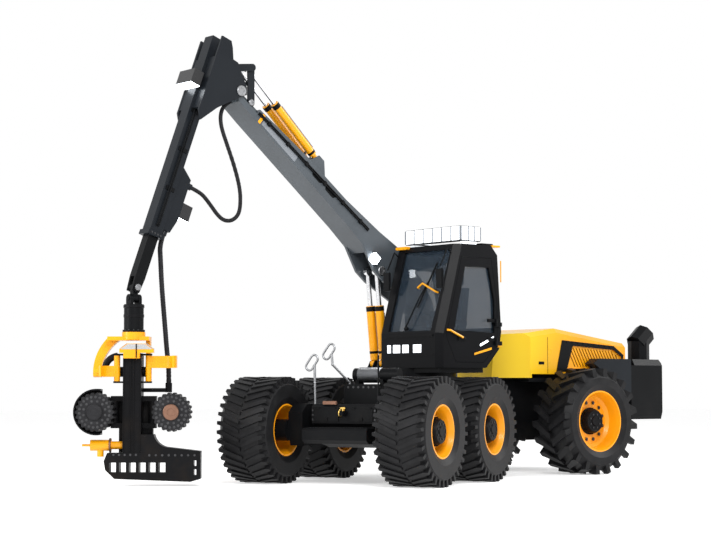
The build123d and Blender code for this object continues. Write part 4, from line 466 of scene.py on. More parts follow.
def layHose(plan):
    points = splinePoints(plan["route"])
    travelled = 0.0
    radii = []
    for index, point in enumerate(points):
        travelled += (point - points[max(index - 1, 0)]).length
        ridge = 0.5 + 0.5 * math.cos(math.tau * travelled / plan["rib"])
        radii.append(plan["diameter"] / 2 * (0.90 + 0.10 * ridge))
    hose = Forge(Matrix()).tube(points, radii, 16).done(plan["name"], None, "hose", ride=False)
    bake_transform(hose)
    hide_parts(plan["node"])


for hosePlan in (craneHose, headHose):
    layHose(hosePlan)
print("hoses laid")


# Bolt heads: one node tree sets a hexagon head on a washer at every point, facing as the point says
def boltTree():
    tree = bpy.data.node_groups.new("boltHeads", "GeometryNodeTree")
    tree.interface.new_socket("Points", in_out="INPUT", socket_type="NodeSocketGeometry")
    tree.interface.new_socket("Finish", in_out="INPUT", socket_type="NodeSocketMaterial")
    tree.interface.new_socket("Bolts", in_out="OUTPUT", socket_type="NodeSocketGeometry")

    def node(kind, settings=None, **sockets):
        made = tree.nodes.new(kind)
        for label, value in (settings or {}).items():
            setattr(made, label, value)
        for label, value in sockets.items():
            target = made.inputs[label.replace("_", " ")]
            if hasattr(value, "is_output"):
                tree.links.new(value, target)
            else:
                target.default_value = value
        return made

    source = node("NodeGroupInput")
    hexagon = node("GeometryNodeMeshCylinder", Vertices=6, Radius=1.0, Depth=1.1)
    washer = node("GeometryNodeMeshCylinder", Vertices=16, Radius=1.45, Depth=0.35)
    both = node("GeometryNodeJoinGeometry")
    tree.links.new(hexagon.outputs["Mesh"], both.inputs[0])
    tree.links.new(washer.outputs["Mesh"], both.inputs[0])
    facing = node("GeometryNodeInputNamedAttribute", {"data_type": "FLOAT_VECTOR"}, Name="facing")
    size = node("GeometryNodeInputNamedAttribute", {"data_type": "FLOAT"}, Name="size")
    aimed = node("FunctionNodeAlignRotationToVector", {"axis": "Z"}, Vector=facing.outputs[0])
    placed = node("GeometryNodeInstanceOnPoints", Points=source.outputs["Points"], Instance=both.outputs[0],
                  Rotation=aimed.outputs[0], Scale=size.outputs[0])
    real = node("GeometryNodeRealizeInstances", Geometry=placed.outputs[0])
    painted = node("GeometryNodeSetMaterial", Geometry=real.outputs[0], Material=source.outputs["Finish"])
    tree.links.new(painted.outputs[0], node("NodeGroupOutput").inputs[0])
    return tree


boltHeads = boltTree()


def setBolts(name, body, slot, finish, rows):  # rows of place, facing, size, all in the row frame
    mesh = bpy.data.meshes.new(name)
    mesh.from_pydata([tuple(row[0]) for row in rows], [], [])
    mesh.attributes.new("facing", "FLOAT_VECTOR", "POINT")
    mesh.attributes.new("size", "FLOAT", "POINT")
    mesh.attributes["facing"].data.foreach_set("vector", [channel for row in rows for channel in row[1]])
    mesh.attributes["size"].data.foreach_set("value", [row[2] for row in rows])
    holder = linked(name + "Points", mesh)
    modifier = holder.modifiers.new("boltHeads", "NODES")
    modifier.node_group = boltHeads
    sockets = {item.name: item.identifier for item in boltHeads.interface.items_tree}
    modifier[sockets["Finish"]] = finishes[finish or slot]
    result = bpy.data.meshes.new_from_object(holder.evaluated_get(bpy.context.evaluated_depsgraph_get()))
    bpy.data.objects.remove(holder)
    result.name = name
    piece = linked(name, result)
    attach(piece, body)


def ring(pose, middle, axis, radius, count, size, start=0.0):
    axis = Vector(axis).normalized()
    side = axis.orthogonal().normalized()
    other = axis.cross(side)
    rows = []
    for step in range(count):
        angle = math.tau * (step + start) / count
        place = Vector(middle) + radius * (side * math.cos(angle) + other * math.sin(angle))
        rows.append((pose @ place, pose.to_3x3() @ axis, size))
    return rows


def line(pose, first, last, count, axis, size):
    first, last = Vector(first), Vector(last)
    places = [first.lerp(last, (step + 0.5) / count) for step in range(count)]
    return [(pose @ place, pose.to_3x3() @ Vector(axis), size) for place in places]


# Wheels: a dark planetary hub over each rim's drum, wheel nuts on the disc, small bolts on the hub's face
frontWheel = {"height": 0.745, "face": 0.300, "hubR": 0.183, "nutR": 0.222, "nuts": 10}
rearWheel = {"height": 0.822, "face": 0.205, "hubR": 0.192, "nutR": 0.290, "nuts": 12}
wheelRows = (  # body, frame, along, across, sizes
    ("wheel_front_left", frontPose, 0.869, 1.204, frontWheel),
    ("wheel_front_right", frontPose, 0.869, -1.204, frontWheel),
    ("wheel_middle_left", frontPose, -0.869, 1.204, frontWheel),
    ("wheel_middle_right", frontPose, -0.869, -1.204, frontWheel),
    ("wheel_rear_left", rearPose, -1.870, 1.201, rearWheel),
    ("wheel_rear_right", rearPose, -1.870, -1.201, rearWheel),
)
hubDisc = 0.085
hubFins = 8


def dressWheel(body, pose, along, across, height, face, hubR, nutR, nuts):
    place = pose @ Matrix.Translation((along, across, height)) @ outward(across)
    flangeR = hubR + 0.016
    hub = Forge(place)
    hub.lathe(((hubDisc, flangeR), (hubDisc + 0.018, flangeR), (hubDisc + 0.026, hubR), (face - 0.04, hubR),
               (face + 0.006, hubR - 0.026), (face + 0.006, 0.148), (face + 0.001, 0.142),
               (face + 0.001, 0.075), (face + 0.018, 0.066), (face + 0.018, 0.02)), 48)
    for step in range(hubFins):
        hub.box((hubR - 0.004, hubDisc + 0.02, -0.012), (hubR + 0.012, face - 0.045, 0.012), 0.003,
                leaning(360.0 / hubFins * step))
    hub.done(body + "Hub", body, "black")
    rows = ring(place, (0, hubDisc + 0.012, 0), leftward, nutR, nuts, 0.019)
    rows += ring(place, (0, face + 0.008, 0), leftward, 0.108, 8, 0.010, 0.5)
    setBolts(body + "Nuts", body, "steel", "gunmetal", rows)


for *wheelPlace, wheelSizes in wheelRows:
    dressWheel(*wheelPlace, **wheelSizes)
print("wheels dressed")

# Light bar on the roof: caps above and below the lenses, posts between them, and two roof hatches
lightBar = {
    "front": 0.020, "back": -0.390, "right": -0.280, "left": 0.950, "low": 3.500, "top": 3.700, "lamps": 6,
    "inset": 0.004, "capDeep": 0.130, "postHalf": 0.012, "sidePosts": (-0.38, -0.26, -0.14),
    "hatches": (  # low corner, high corner, bevel
        ((-0.700, -0.22, 3.440), (-0.450, 0.90, 3.475), 0.012),
        ((-0.380, 0.05, 3.440), (-0.130, 0.62, 3.458), 0.008)),
}


def dressLightBar(front, back, right, left, low, top, lamps, inset, capDeep, postHalf, sidePosts, hatches):
    bar = Forge(slewPose)
    for under, over in ((low - 0.012, low + inset), (top - inset, top + 0.008)):
        bar.box((front - capDeep, right + inset, under), (front - inset, left - inset, over))
        for inner, outer in ((right + inset, right + capDeep), (left - capDeep, left - inset)):
            bar.box((back + inset, inner, under), (front - 0.02, outer, over))
    bar.boxes(hatches).done("lightBarFrame", "platform", "black", "cabGloss")
    posts = Forge(slewPose)
    for step in range(lamps + 1):
        across = min(max(right + step * (left - right) / lamps, right + 0.008), left - 0.008)
        posts.box((front - 0.03, across - postHalf, low), (front + 0.006, across + postHalf, top), 0.003)
    for along in sidePosts:
        posts.box((along - 0.010, left - 0.03, low), (along + 0.010, left + 0.006, top), 0.003)
    posts.done("lightBarPosts", "platform", "black", "panel")


dressLightBar(**lightBar)

# Cab outside: places on the windscreen are given as across, height and stand-off
windscreen = {"lowX": 0.480, "lowZ": 2.135, "topX": 0.117, "topZ": 3.440}
cabFittings = {
    "wiper": (  # places on the windscreen, radius
        (((0.26, 2.20, 0.0), (0.27, 2.22, 0.035), (0.42, 2.62, 0.030), (0.52, 2.88, 0.004)), 0.011),
        (((0.38, 2.52, -0.016), (0.62, 3.18, -0.016)), 0.013),
        (((0.47, 2.76, 0.012), (0.50, 2.84, -0.010)), 0.009)),
    "pivot": (0.26, 2.20, 0.01), "mirrors": (-0.272, 0.905), "mirrorHalf": 0.075,
    "mirrorStay": ((3.30, 0.01), (3.34, 0.10), (3.05, 0.16)),  # height, stand-off
    "noseBars": (  # low corner, high corner, bevel
        ((0.470, -0.24, 2.075), (0.492, 0.86, 2.115), 0.006),
        ((0.470, -0.24, 1.800), (0.486, 0.86, 1.822), 0.004)),
}
cabTrim = {
    "bar": ((0.34, 2.80, 0.0), (0.35, 2.80, 0.030), (0.44, 2.86, 0.035), (0.78, 2.72, 0.035),
            (0.79, 2.72, 0.0)),
    "postStrip": ((-0.772, 0.978, 2.90), (-0.752, 0.990, 3.22), 0.003),
    "stripe": ((-0.765, 1.950), (-0.765, 1.985), (-0.690, 1.965), (-0.690, 1.930)),
    "roofEdges": (  # low corner, high corner, bevel
        ((0.10, -0.302, 3.405), (0.20, -0.06, 3.450), 0.008),
        ((-0.772, 0.10, 3.42), (-0.60, 0.97, 3.448), 0.006)),
}
doorTrim = {
    "grab": ((0.315, 0.985, 2.172), (0.300, 1.030, 2.166), (0.050, 1.030, 2.066), (0.030, 0.985, 2.058)),
    "stripe": ((-0.212, 1.812), (-0.212, 1.842), (-0.560, 1.930), (-0.560, 1.896)),
    "lockPlate": ((-0.05, 0.983, 2.02), (0.11, 1.000, 2.09), 0.006),
    "handle": ((-0.02, 0.985, 2.050), (-0.01, 1.018, 2.052), (0.07, 1.018, 2.060), (0.08, 0.985, 2.062)),
    "lamp": ((-0.334, 1.945), (-0.334, 1.975), (-0.600, 2.090), (-0.600, 2.060)),
}
stripeSpan = (0.984, 0.993)  # inner and outer face


def onWindscreen(across, height, out):
    run = windscreen["topX"] - windscreen["lowX"]
    rise = windscreen["topZ"] - windscreen["lowZ"]
    share = (height - windscreen["lowZ"]) / rise
    slope = Vector((rise, 0, -run)).normalized()
    return Vector((windscreen["lowX"] + run * share, across, height)) + slope * out


def fitCab(wiper, pivot, mirrors, mirrorHalf, mirrorStay, noseBars):
    fittings = Forge(slewPose)
    for spots, radius in wiper:
        fittings.tube([onWindscreen(*spot) for spot in spots], radius)
    pivotPlace = Matrix.Translation(onWindscreen(*pivot))
    fittings.lathe(((-0.02, 0.030), (0.02, 0.030), (0.03, 0.018)), 20, pivotPlace)
    for side in mirrors:
        fittings.tube([onWindscreen(side, *spot) for spot in mirrorStay], 0.011)
        fittings.box((0.37, side - mirrorHalf, 2.78), (0.41, side + mirrorHalf, 3.06), 0.014)
    fittings.boxes(noseBars).done("cabFittings", "platform", "black")


def trimCab(bar, postStrip, stripe, roofEdges):
    trim = Forge(slewPose).tube([onWindscreen(*spot) for spot in bar], 0.014)
    trim.box(*postStrip).plate(stripe, *stripeSpan).boxes(roofEdges).done("cabTrim", "platform", "yellow")


def trimDoor(grab, stripe, lockPlate, handle, lamp):
    Forge(slewPose).tube(grab, 0.016).plate(stripe, *stripeSpan).done("doorTrim", "door", "yellow")
    Forge(slewPose).box(*lockPlate).tube(handle, 0.010).done("doorHandle", "door", "black")
    Forge(slewPose).plate(lamp, 0.984, 0.994).done("doorStripLamp", "door", "lamp", "strip")


fitCab(**cabFittings)
trimCab(**cabTrim)
trimDoor(**doorTrim)

# Inside the cab: console, screens on posts, steering column and wheel, head rest and roof lining
cabin = {
    "console": ((0.14, -0.10, 1.80), (0.36, 0.72, 2.16), 0.03),
    "screens": ((0.10, 2.24), (0.66, 2.30)), "screenX": 0.27, "screenHalf": 0.11,  # screens: across, height
    "column": ((0.16, 0.33, 2.10), (0.06, 0.33, 2.34)), "wheel": (0.05, 0.33, 2.36), "wheelR": 0.15,
    "soft": (  # head rest and roof lining: low corner, high corner, bevel
        ((-0.530, 0.20, 2.86), (-0.440, 0.46, 3.04), 0.03),
        ((-0.66, -0.20, 3.33), (-0.05, 0.88, 3.37), 0.01)),
}


def fitCabin(console, screens, screenX, screenHalf, column, wheel, wheelR, soft):
    inside = Forge(slewPose).box(*console)
    for across, height in screens:
        inside.tube([(screenX, across, 2.10), (screenX, across, height)], 0.014)
        inside.box((screenX - 0.025, across - screenHalf, height),
                   (screenX + 0.005, across + screenHalf, height + 0.16), 0.010)
    inside.tube(column, 0.022)
    turn = Matrix.Translation(wheel) @ leaning(-25)
    inside.tube([turn @ (wheelR * Vector((math.cos(a), math.sin(a), 0))) for a in circle(24)], 0.013)
    inside.boxes(soft).done("cabInside", "platform", "black")


fitCabin(**cabin)

# Seat: crowned pads on the pedestal and the back
backFoot = slewPose @ Matrix.Translation((-0.302, 0, 2.09)) @ leaning(-6.9)
seatPads = (  # name, low corner, high corner, frame
    ("seatCushion", (-0.39, 0.105, 2.097), (0.09, 0.565, 2.170), slewPose),
    ("seatBack", (-0.060, 0.115, 0.02), (-0.002, 0.555, 0.70), backFoot),
)
padShape = {"count": 18, "waist": 0.03, "edge": 0.30, "seamAt": 0.62, "seamWide": 0.05, "seamDeep": 0.10}


def padRise(u, v):
    crown = (1 - u**6) ** 0.5 * (1 - v**6) ** 0.5
    seam = padShape["seamDeep"] * math.exp(-((abs(u) - padShape["seamAt"]) / padShape["seamWide"]) ** 2)
    return padShape["edge"] + (1 - padShape["edge"]) * crown * (1 - seam)


def crownedPad(name, low, high, pose):
    pad = Forge(pose)
    size = [b - a for a, b in zip(low, high)]
    thin = size.index(min(size))
    first, second = [axis for axis in range(3) if axis != thin]
    count, waist = padShape["count"], padShape["waist"]
    rims = []
    for crowned in (False, True):
        rows = []
        for i in range(count + 1):
            row = []
            for j in range(count + 1):
                u, v = 2 * i / count - 1, 2 * j / count - 1
                place = [0.0, 0.0, 0.0]
                place[first] = low[first] + size[first] * (0.5 + 0.5 * u * (1 - waist * (1 - v * v)))
                place[second] = low[second] + size[second] * (0.5 + 0.5 * v * (1 - waist * (1 - u * u)))
                place[thin] = low[thin] + size[thin] * (padRise(u, v) if crowned else 0.0)
                row.append(pad.mesh.verts.new(place))
            rows.append(row)
        for i in range(count):
            for j in range(count):
                pad.mesh.faces.new((rows[i][j], rows[i + 1][j], rows[i + 1][j + 1], rows[i][j + 1]))
        there, back = range(count), range(count, 0, -1)
        rims.append([rows[i][0] for i in there] + [rows[count][j] for j in there]
                    + [rows[i][count] for i in back] + [rows[0][j] for j in back])
    pad.skin(rims, closed=False)
    pad.done(name, "platform", "seat")


for seatPad in seatPads:
    crownedPad(*seatPad)
print("cab dressed")


# Boom: panel, band and painted-shade sheets in the slots on its side, pipes with clamps
boomSide = 0.225
markSpan = (boomSide - 0.004, boomSide + 0.003)  # inner and outer face
boomMarks = (  # name, slot, finish, start, end, low, top
    ("boomPanel", "slate", "panel", 3.30, 4.08, -0.085, 0.045),
    ("boomBand", "yellow", None, 4.10, 4.15, -0.10, 0.06),
)
boomSlotShade = {"spans": ((2.46, 2.60), (2.78, 2.92)), "half": 0.0425, "middle": 0.045}
boomPipes = {"start": 1.62, "end": 4.20, "heights": (0.118, 0.090), "radius": 0.011, "clamps": 6,
             "drop": 0.10}


def slotOutline(first, last):
    half, middle = boomSlotShade["half"], boomSlotShade["middle"]
    angles = [math.pi * step / 8 for step in range(9)]
    outline = [(last + half * math.sin(a), middle + half * math.cos(a)) for a in angles]
    return outline + [(first - half * math.sin(a), middle - half * math.cos(a)) for a in angles]


def pipeBoom(start, end, heights, radius, clamps, drop):
    pipes = Forge(boomPose)
    for side in (-1, 1):
        root, out = side * (boomSide - 0.02), side * (boomSide + 0.016)
        for height in heights:
            pipes.tube([(start, root, height), (start + 0.02, out, height), (end, out, height - drop),
                        (end + 0.02, root, height - drop)], radius)
        near, far = sided(side, boomSide - 0.003, boomSide + 0.032)
        for step in range(clamps):
            share = (step + 0.5) / clamps
            along = start + share * (end - start)
            fall = drop * share
            pipes.box((along - 0.025, near, 0.070 - fall), (along + 0.025, far, 0.136 - fall), 0.005)
    pipes.done("boomPipes", "boom", "black")


for name, slot, finish, start, end, low, top in boomMarks:
    mark = Forge(boomPose).box((start, markSpan[0], low), (end, markSpan[1], top), 0.002)
    mark.done(name, "boom", slot, finish)
# black sheets in the shape of the slots: painted shade standing for the dark openings
slots = Forge(boomPose)
for span in boomSlotShade["spans"]:
    slots.plate(slotOutline(*span), *markSpan)
slots.done("boomSlotShade", "boom", "black")
pipeBoom(**boomPipes)

# Pin caps with four bolts each
pinCaps = (  # body, frame, along, height, face, radius
    ("boom", boomPose, places["boomLength"], 0.0, 0.280, 0.078),
    ("boom", boomPose, 1.04, -0.19, 0.225, 0.072),
    ("boom", boomPose, 4.39, 0.05, 0.190, 0.046),
    ("platform", boomPose, 0.0, 0.0, 0.262, 0.080),
    ("extension", stickPose, places["stickReach"], 0.0, 0.100, 0.045),
)
caps = {}
capRows = {}
for body, pose, along, height, face, radius in pinCaps:
    forge = caps.setdefault(body, Forge(pose))
    for side in (-1, 1):
        place = Matrix.Translation((along, side * face, height)) @ outward(side)
        forge.lathe(((-0.004, radius), (0.010, radius), (0.016, radius - 0.007), (0.016, radius * 0.45),
                     (0.011, radius * 0.40), (0.011, 0.004)), 32, place)
        rows = ring(pose @ place, (0, 0.016, 0), leftward, radius * 0.70, 4, 0.0085)
        capRows.setdefault(body, []).extend(rows)
for body, forge in caps.items():
    forge.done(body + "PinCaps", body, "steel", "brushed")

# Cylinders: gland nut at each barrel's mouth, a band at its foot and a feed pipe along it
rams = (  # body, foot pin, rod's eye, barrel's length, radius of its trim
    ("lift_barrels", (0.19, 0, 1.705), (0.3315, 0, 3.0981), 0.880, 0.070),
    ("stick_barrels", (1.4750, 0, 4.6909), (2.7588, 0, 5.9296), 1.120, 0.062),
)
ramSpread = 0.105


def dressRam(body, foot, eye, length, radius):
    way = (Vector(eye) - Vector(foot)).normalized()
    up = leftward.cross(way)
    aimed = leftward.rotation_difference(way).to_matrix().to_4x4()
    root, port = up * (radius - 0.01), up * (radius + 0.014)
    gland = Forge(cranePose)
    fed = Forge(cranePose)
    for across in (-ramSpread, ramSpread):
        start = Vector(foot) + leftward * across
        mouth = start + way * length
        gland.lathe(((-0.085, radius - 0.006), (-0.080, radius), (-0.014, radius),
                     (-0.006, radius - 0.008)), 28, Matrix.Translation(mouth) @ aimed, loop=True)
        gland.lathe(((0.150, radius - 0.006), (0.156, radius - 0.001), (0.190, radius - 0.001),
                     (0.196, radius - 0.006)), 28, Matrix.Translation(start) @ aimed, loop=True)
        fed.tube([start + way * 0.20 - root, start + way * 0.21 - port, mouth - way * 0.12 - port,
                  mouth - way * 0.11 - root], 0.010)
    gland.done(body + "Glands", body, "black")
    fed.done(body + "Pipes", body, "steel", "brushed")


for ram in rams:
    dressRam(*ram)

# Stick: clamps and two pipes on each side, bolts on its collar
stickTrim = {"clamps": (0.55, 1.15, 1.75), "start": 0.42, "end": 2.33, "heights": (0.03, 0.0),
             "collar": 2.435}


def dressStick(clamps, start, end, heights, collar):
    bits = Forge(stickPose)
    rows = []
    for along in clamps:
        for side in (-1, 1):
            near, far = sided(side, 0.098, 0.112)
            bits.box((along - 0.03, near, -0.075), (along + 0.03, far, 0.075), 0.005)
    for side in (-1, 1):
        root, out, face = side * 0.09, side * 0.122, side * 0.124
        for height in heights:
            bits.tube([(start, root, height), (start + 0.03, out, height), (end - 0.03, out, height),
                       (end, root, height)], 0.010)
        rows += line(stickPose, (collar, face, -0.10), (collar, face, 0.10), 4, leftward * side, 0.010)
    bits.done("stickPipes", "stick", "black")
    setBolts("stickBolts", "stick", "steel", "gunmetal", rows)


dressStick(**stickTrim)
for body, rows in capRows.items():
    setBolts(body + "CapBolts", body, "steel", "brushed", rows)
print("crane dressed")

# Hood: panel seams, side latches, roof slats and bolts round the bezel; tail lamps on the weight
hoodTrim = {
    "half": 0.760, "seam": -1.500, "slats": 11, "slatStart": -2.10, "slatPitch": 0.075, "slatHalf": 0.36,
    "peak": (-1.70, 2.27), "end": (-3.29, 2.06),
    "boltLines": (  # start and end as along, height; count
        ((-1.74, 1.615), (-3.17, 1.615), 12),
        ((-1.86, 2.060), (-2.98, 1.992), 9)),
}
tailLamps = {"span": (0.62, 0.80), "low": 1.32, "top": 1.40}


def dressHood(half, seam, slats, slatStart, slatPitch, slatHalf, peak, end, boltLines):
    dark = Forge(rearPose)
    rows = []
    for side in (-1, 1):
        near, far = sided(side, half - 0.004, half + 0.0025)
        dark.box((seam - 0.004, near, 1.56), (seam + 0.004, far, 2.13), 0.001)
        dark.box((-1.420, near, 1.70), (-1.300, far + 0.004 if side > 0 else far, 1.745), 0.008)
        face = side * (half + 0.010)
        for (x, z), (lastX, lastZ), count in boltLines:
            rows += line(rearPose, (x, face, z), (lastX, face, lastZ), count, leftward * side, 0.010)
    for step in range(slats):
        x = slatStart - step * slatPitch
        z = peak[1] + (x - peak[0]) / (end[0] - peak[0]) * (end[1] - peak[1])
        dark.box((-0.022, -slatHalf, -0.006), (0.022, slatHalf, 0.010), 0.004,
                 Matrix.Translation((x, 0, z)) @ leaning(-7.5))
    dark.done("hoodFittings", "rear_frame", "black")
    setBolts("hoodBolts", "rear_frame", "black", None, rows)


dressHood(**hoodTrim)
tail = Forge(rearPose)
for side in (-1, 1):
    near, far = sided(side, *tailLamps["span"])
    tail.box((-3.975, near, tailLamps["low"]), (-3.955, far, tailLamps["top"]), 0.006)
tail.done("tailLamps", "rear_frame", "lamp", "red")
print("rear dressed")

# Front: box doors with hinges and catches, tread bars, rod, reflector, shackle and the winch rope
boxFace = 0.820
frontBox = {"low": 0.860, "top": 1.050, "doorSpan": (0.075, 0.46), "hinges": (0.15, 0.40), "catch": 0.275,
            "treads": 9, "treadStart": 0.86, "treadPitch": 0.026, "rod": (0.70, 0.478)}
reflector = ((0.775, -0.337, 1.100), (0.815, -0.116, 1.148), 0.008)
shackle = {"middle": (0.920, 0.980), "wide": 0.042, "high": 0.050, "radius": 0.009}
latchRows = (  # low corner and high corner, both from the box's face; bevel
    ((-0.004, -0.020, 1.012), (0.014, 0.020, 1.064), 0.004),
    ((0.010, -0.042, 1.042), (0.030, 0.042, 1.061), 0.006),
    ((0.010, -0.012, 1.016), (0.026, 0.012, 1.046), 0.004),
)
winchRope = {"height": 1.512, "coils": 100, "start": -0.165, "pitch": 0.0035, "radius": 0.106, "core": 0.098}
sideBolts = (  # start and end on the left side, count, facing, size
    ((boxFace + 0.001, 0.485, 0.86), (boxFace + 0.001, 0.485, 1.05), 3, (1, 0, 0), 0.010),
    ((-0.12, 0.271, 1.12), (0.29, 0.271, 1.12), 5, (0, 1, 0), 0.011),
    ((-0.12, 0.271, 1.34), (0.29, 0.271, 1.34), 5, (0, 1, 0), 0.011),
)


def dressBox(low, top, doorSpan, hinges, catch, treads, treadStart, treadPitch, rod):
    front = Forge(frontPose)
    for side in (-1, 1):
        near, far = sided(side, *doorSpan)
        front.box((boxFace - 0.006, near, low), (boxFace + 0.010, far, top), 0.006)
        for hinge in hinges:
            near, far = sided(side, hinge - 0.035, hinge + 0.035)
            front.box((boxFace, near, top - 0.015), (boxFace + 0.020, far, top + 0.012), 0.005)
    for step in range(treads):
        x = treadStart + step * treadPitch
        front.box((x - 0.006, -0.44, 0.776), (x + 0.006, 0.44, 0.790), 0.003)
    for side in (-1, 1):
        front.box((boxFace, side * catch - 0.03, 0.875), (boxFace + 0.024, side * catch + 0.03, 0.925), 0.006)
    front.tube([(*rod, 1.10), (*rod, 1.78)], 0.012)
    front.lathe(((0.0, 0.022), (0.02, 0.022), (0.03, 0.014)), 16, Matrix.Translation((*rod, 1.107)) @ onEnd)
    front.done("frontFittings", "front_frame", "black")


def dressLatch(middle, wide, high, radius):
    latch = Forge(frontPose)
    x, z = middle
    latch.tube([(x + wide * math.cos(a), 0.0, z + high * math.sin(a)) for a in circle(24)], radius, 12)
    for low, top, bevel in latchRows:
        latch.box((boxFace + low[0], *low[1:]), (boxFace + top[0], *top[1:]), bevel)
    latch.done("boxCatches", "front_frame", "steel", "brass")


def windRope(height, coils, start, pitch, radius, core):
    wound = [(start + pitch * step, radius + 0.005 * math.cos(math.tau * step / 4)) for step in range(coils)]
    rope = Forge(frontPose)
    rope.lathe([(-0.170, core)] + wound + [(0.186, core)], 40, Matrix.Translation((0, 0, height)))
    rope.done("winchRope", "front_frame", "steel", "brushed")


dressBox(**frontBox)
Forge(frontPose).box(*reflector).done("frontReflector", "front_frame", "lamp", "copper")
dressLatch(**shackle)
windRope(**winchRope)
frontRows = []
for side in (-1, 1):
    flip = Vector((1, side, 1))
    for first, last, count, facing, size in sideBolts:
        first, last, facing = (flip * Vector(spot) for spot in (first, last, facing))
        frontRows += line(frontPose, first, last, count, facing, size)
frontRows += line(frontPose, (0.301, -0.24, 1.34), (0.301, 0.24, 1.34), 6, (1, 0, 0), 0.011)
setBolts("frontBolts", "front_frame", "steel", "gunmetal", frontRows)
print("front dressed")

# Feed rollers: hub, bolts on the end and studs between the teeth
rollerRows = (  # side, across, slot and finish of the hub
    ("left", -0.480, ("iron",)),
    ("right", 0.550, ("steel", "copper")),
)
roller = {"height": 1.003, "end": -0.350, "radius": 0.259, "teeth": 22,
          "studRows": (-0.28, -0.20, -0.12, -0.04)}
hubProfile = ((-0.020, 0.108), (0.004, 0.108), (0.012, 0.100), (0.012, 0.052), (0.008, 0.048),
              (0.008, 0.004))


def dressRoller(body, across, hubLook, height, end, radius, teeth, studRows):
    place = headPose @ Matrix.Translation((across, end, height)) @ upright(180)
    Forge(place).lathe(hubProfile, 44).done(body + "Hub", body, *hubLook)
    rows = ring(place, (0, -0.019, 0), leftward, 0.150, 12, 0.012)
    rows += ring(place, (0, -0.019, 0), leftward, 0.205, 22, 0.013)
    setBolts(body + "HubBolts", body, "steel", "gunmetal", rows)
    studs = []
    for along in studRows:
        for angle in circle(teeth)[:-1]:
            out = Vector((math.cos(angle), 0, math.sin(angle)))
            spot = Vector((across, along, height)) + out * radius
            studs.append((headPose @ spot, headPose.to_3x3() @ out, 0.012))
    setBolts(body + "Studs", body, "iron", None, studs)


for side, across, hubLook in rollerRows:
    dressRoller("feed_roller_" + side, across, hubLook, **roller)

# Head: valve block with pipes, pale panels, ribs, rotator collars and saw fittings
valveBlock = {"block": ((-0.105, 0.155, 1.235), (0.075, 0.225, 1.440), 0.008), "spools": 4, "start": -0.080,
              "pitch": 0.042, "splay": 1.3}
headPanels = (  # outline as across, height; inner and outer face
    (((-0.163, 1.853), (-0.066, 1.929), (-0.070, 1.934), (-0.167, 1.858)), -0.228, -0.148),
    (((0.197, 1.928), (0.298, 1.854), (0.302, 1.859), (0.201, 1.933)), -0.228, -0.148),
    (((-0.150, 1.853), (0.056, 1.853), (0.056, 1.922), (-0.056, 1.922)), -0.240, -0.232),
    (((0.076, 1.853), (0.286, 1.853), (0.188, 1.922), (0.076, 1.922)), -0.240, -0.232),
)
headRibs = {"coverRib": ((0.058, -0.246, 1.735), (0.074, -0.232, 1.928), 0.004),
            "uprights": (-0.116, -0.022, 0.022, 0.116), "levels": (0.62, 0.90, 1.18, 1.40),
            "arcMiddle": (-0.185, 0.02, 1.60), "arcWide": 0.20, "arcHigh": 0.17}
collarProfiles = (  # each by height, radius
    ((2.092, 0.152), (2.116, 0.152), (2.122, 0.140)),
    ((2.290, 0.136), (2.296, 0.141), (2.330, 0.141), (2.336, 0.136)),
    ((2.420, 0.136), (2.426, 0.144), (2.458, 0.144), (2.464, 0.136)),
)
sawDisc = {"height": 0.55, "places": (-0.318, -0.316, -0.296, -0.292), "radii": [0.090, 0.098, 0.098, 0.090]}
sawBolts = (  # start, end, count, facing, size
    ((-0.28, -0.151, 0.425), (0.10, -0.151, 0.425), 5, (0, -1, 0), 0.011),
    ((0.20, -0.151, 0.42), (0.90, -0.151, 0.42), 8, (0, -1, 0), 0.011),
    ((0.18, 0.071, 0.42), (0.90, 0.071, 0.42), 8, (0, 1, 0), 0.011),
)


def dressValves(block, spools, start, pitch, splay):
    valve = Forge(headPose).box(*block)
    for step in range(spools):
        middle = start + step * pitch
        valve.box((middle - 0.014, 0.220, 1.270), (middle + 0.014, 0.250, 1.400), 0.006)
        valve.tube([(middle, 0.190, 1.240), (middle, 0.224, 1.190), (middle * splay, 0.220, 1.05),
                    (middle * splay, 0.213, 0.82)], 0.011)
    valve.done("headValves", "head", "black")


def dressRibs(coverRib, uprights, levels, arcMiddle, arcWide, arcHigh):
    ribs = Forge(headPose).box(*coverRib)
    for across in uprights:
        ribs.box((across - 0.008, -0.156, 0.46), (across + 0.008, -0.138, 1.722), 0.003)
    for height in levels:
        ribs.box((-0.122, -0.148, height - 0.012), (0.122, -0.138, height + 0.012), 0.003)
    x, y, z = arcMiddle
    arc = [math.radians(180 - 9 * step) for step in range(10)]
    ribs.tube([(x + arcWide * math.cos(a), y, z + arcHigh * math.sin(a)) for a in arc], 0.046, 16)
    ribs.done("headRibs", "head", "black", "headBlack")


dressValves(**valveBlock)
pale = Forge(headPose)
for headPanel in headPanels:
    pale.plate(*headPanel)
pale.done("headPanels", "head", "lamp", "pale")
dressRibs(**headRibs)
collar = Forge(headPose)
for profile in collarProfiles:
    collar.lathe(profile, 40, onEnd)
collar.done("rotatorCollars", "rotator", "black", "headBlack")
rotatorRows = ring(headPose, (0, 0, 2.118), (0, 0, 1), 0.146, 14, 0.009)
setBolts("rotatorBolts", "rotator", "steel", "gunmetal", rotatorRows)
disc = Forge(headPose).tube([(x, 0, sawDisc["height"]) for x in sawDisc["places"]], sawDisc["radii"], 36)
disc.done("sawDisc", "head", "steel", "copper")
sawRows = []
for sawBolt in sawBolts:
    sawRows += line(headPose, *sawBolt)
setBolts("headBolts", "head", "steel", "gunmetal", sawRows)
print("head dressed")

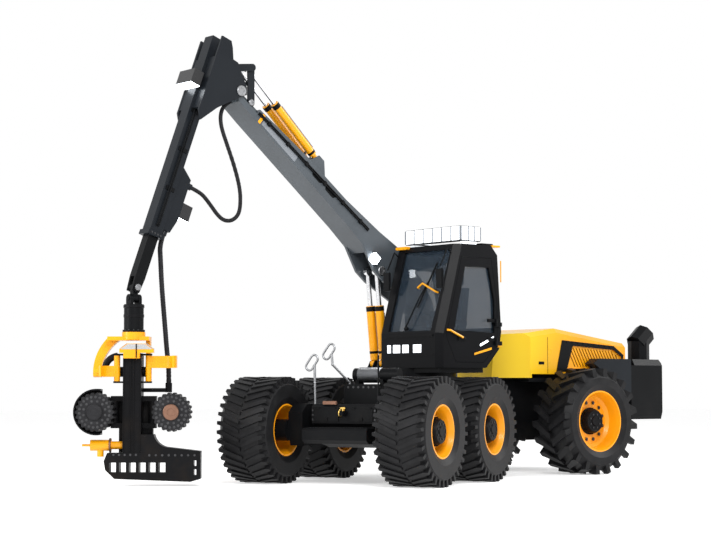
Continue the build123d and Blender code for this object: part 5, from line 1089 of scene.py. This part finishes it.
# Studio: white world, pale floor that keeps the shadow, three soft lamps
studio = {"world": 0.55, "floorSize": 160.0, "floorColour": (0.88, 0.88, 0.88), "floorGlow": 0.45}
softLamps = (  # name, place, aimed at, size, watts
    ("keyLamp", (9.0, 12.0, 11.0), (0.0, 0.0, 1.6), 9.0, 2600.0),
    ("fillLamp", (14.0, -4.0, 6.0), (1.0, 0.0, 1.8), 8.0, 1100.0),
    ("rimLamp", (-12.0, 6.0, 9.0), (-1.0, 0.0, 1.8), 8.0, 1500.0),
)


def seenDirectly(tree):
    rays = tree.nodes.new("ShaderNodeLightPath").outputs
    camera, glossy, through = (Wire(tree, rays[label])
                               for label in ("Is Camera Ray", "Is Glossy Ray", "Is Transmission Ray"))
    return camera.maths("MAXIMUM", camera, glossy.maths("MAXIMUM", glossy, through))


def setStudio(plan):
    world = bpy.data.worlds.new("studioWorld")
    world.use_nodes = True
    bpy.context.scene.world = world
    tree = world.node_tree
    background = tree.nodes["Background"]
    background.inputs["Color"].default_value = (1, 1, 1, 1)
    seen = seenDirectly(tree)
    strength = seen + (1 - seen) * plan["world"]
    tree.links.new(strength.socket, background.inputs["Strength"])
    floorFinish = Finish("paleFloor", Roughness=0.9, Base_Color=(*plan["floorColour"], 1),
                         Emission_Color=(1, 1, 1, 1), Emission_Strength=plan["floorGlow"])
    half = plan["floorSize"] / 2
    mesh = bpy.data.meshes.new("paleFloor")
    corners = [(-half, -half, 0), (half, -half, 0), (half, half, 0), (-half, half, 0)]
    mesh.from_pydata(corners, [], [(0, 1, 2, 3)])
    mesh.materials.append(floorFinish.material)
    linked("paleFloor", mesh)
    for name, place, aim, size, watts in softLamps:
        lamp = bpy.data.lights.new(name, "AREA")
        lamp.shape = "DISK"
        lamp.size = size
        lamp.energy = watts
        holder = linked(name, lamp)
        holder.location = place
        holder.rotation_euler = (Vector(aim) - Vector(place)).to_track_quat("-Z", "Y").to_euler()


setStudio(studio)
bpy.context.scene.view_settings.view_transform = "Standard"
print("studio set")
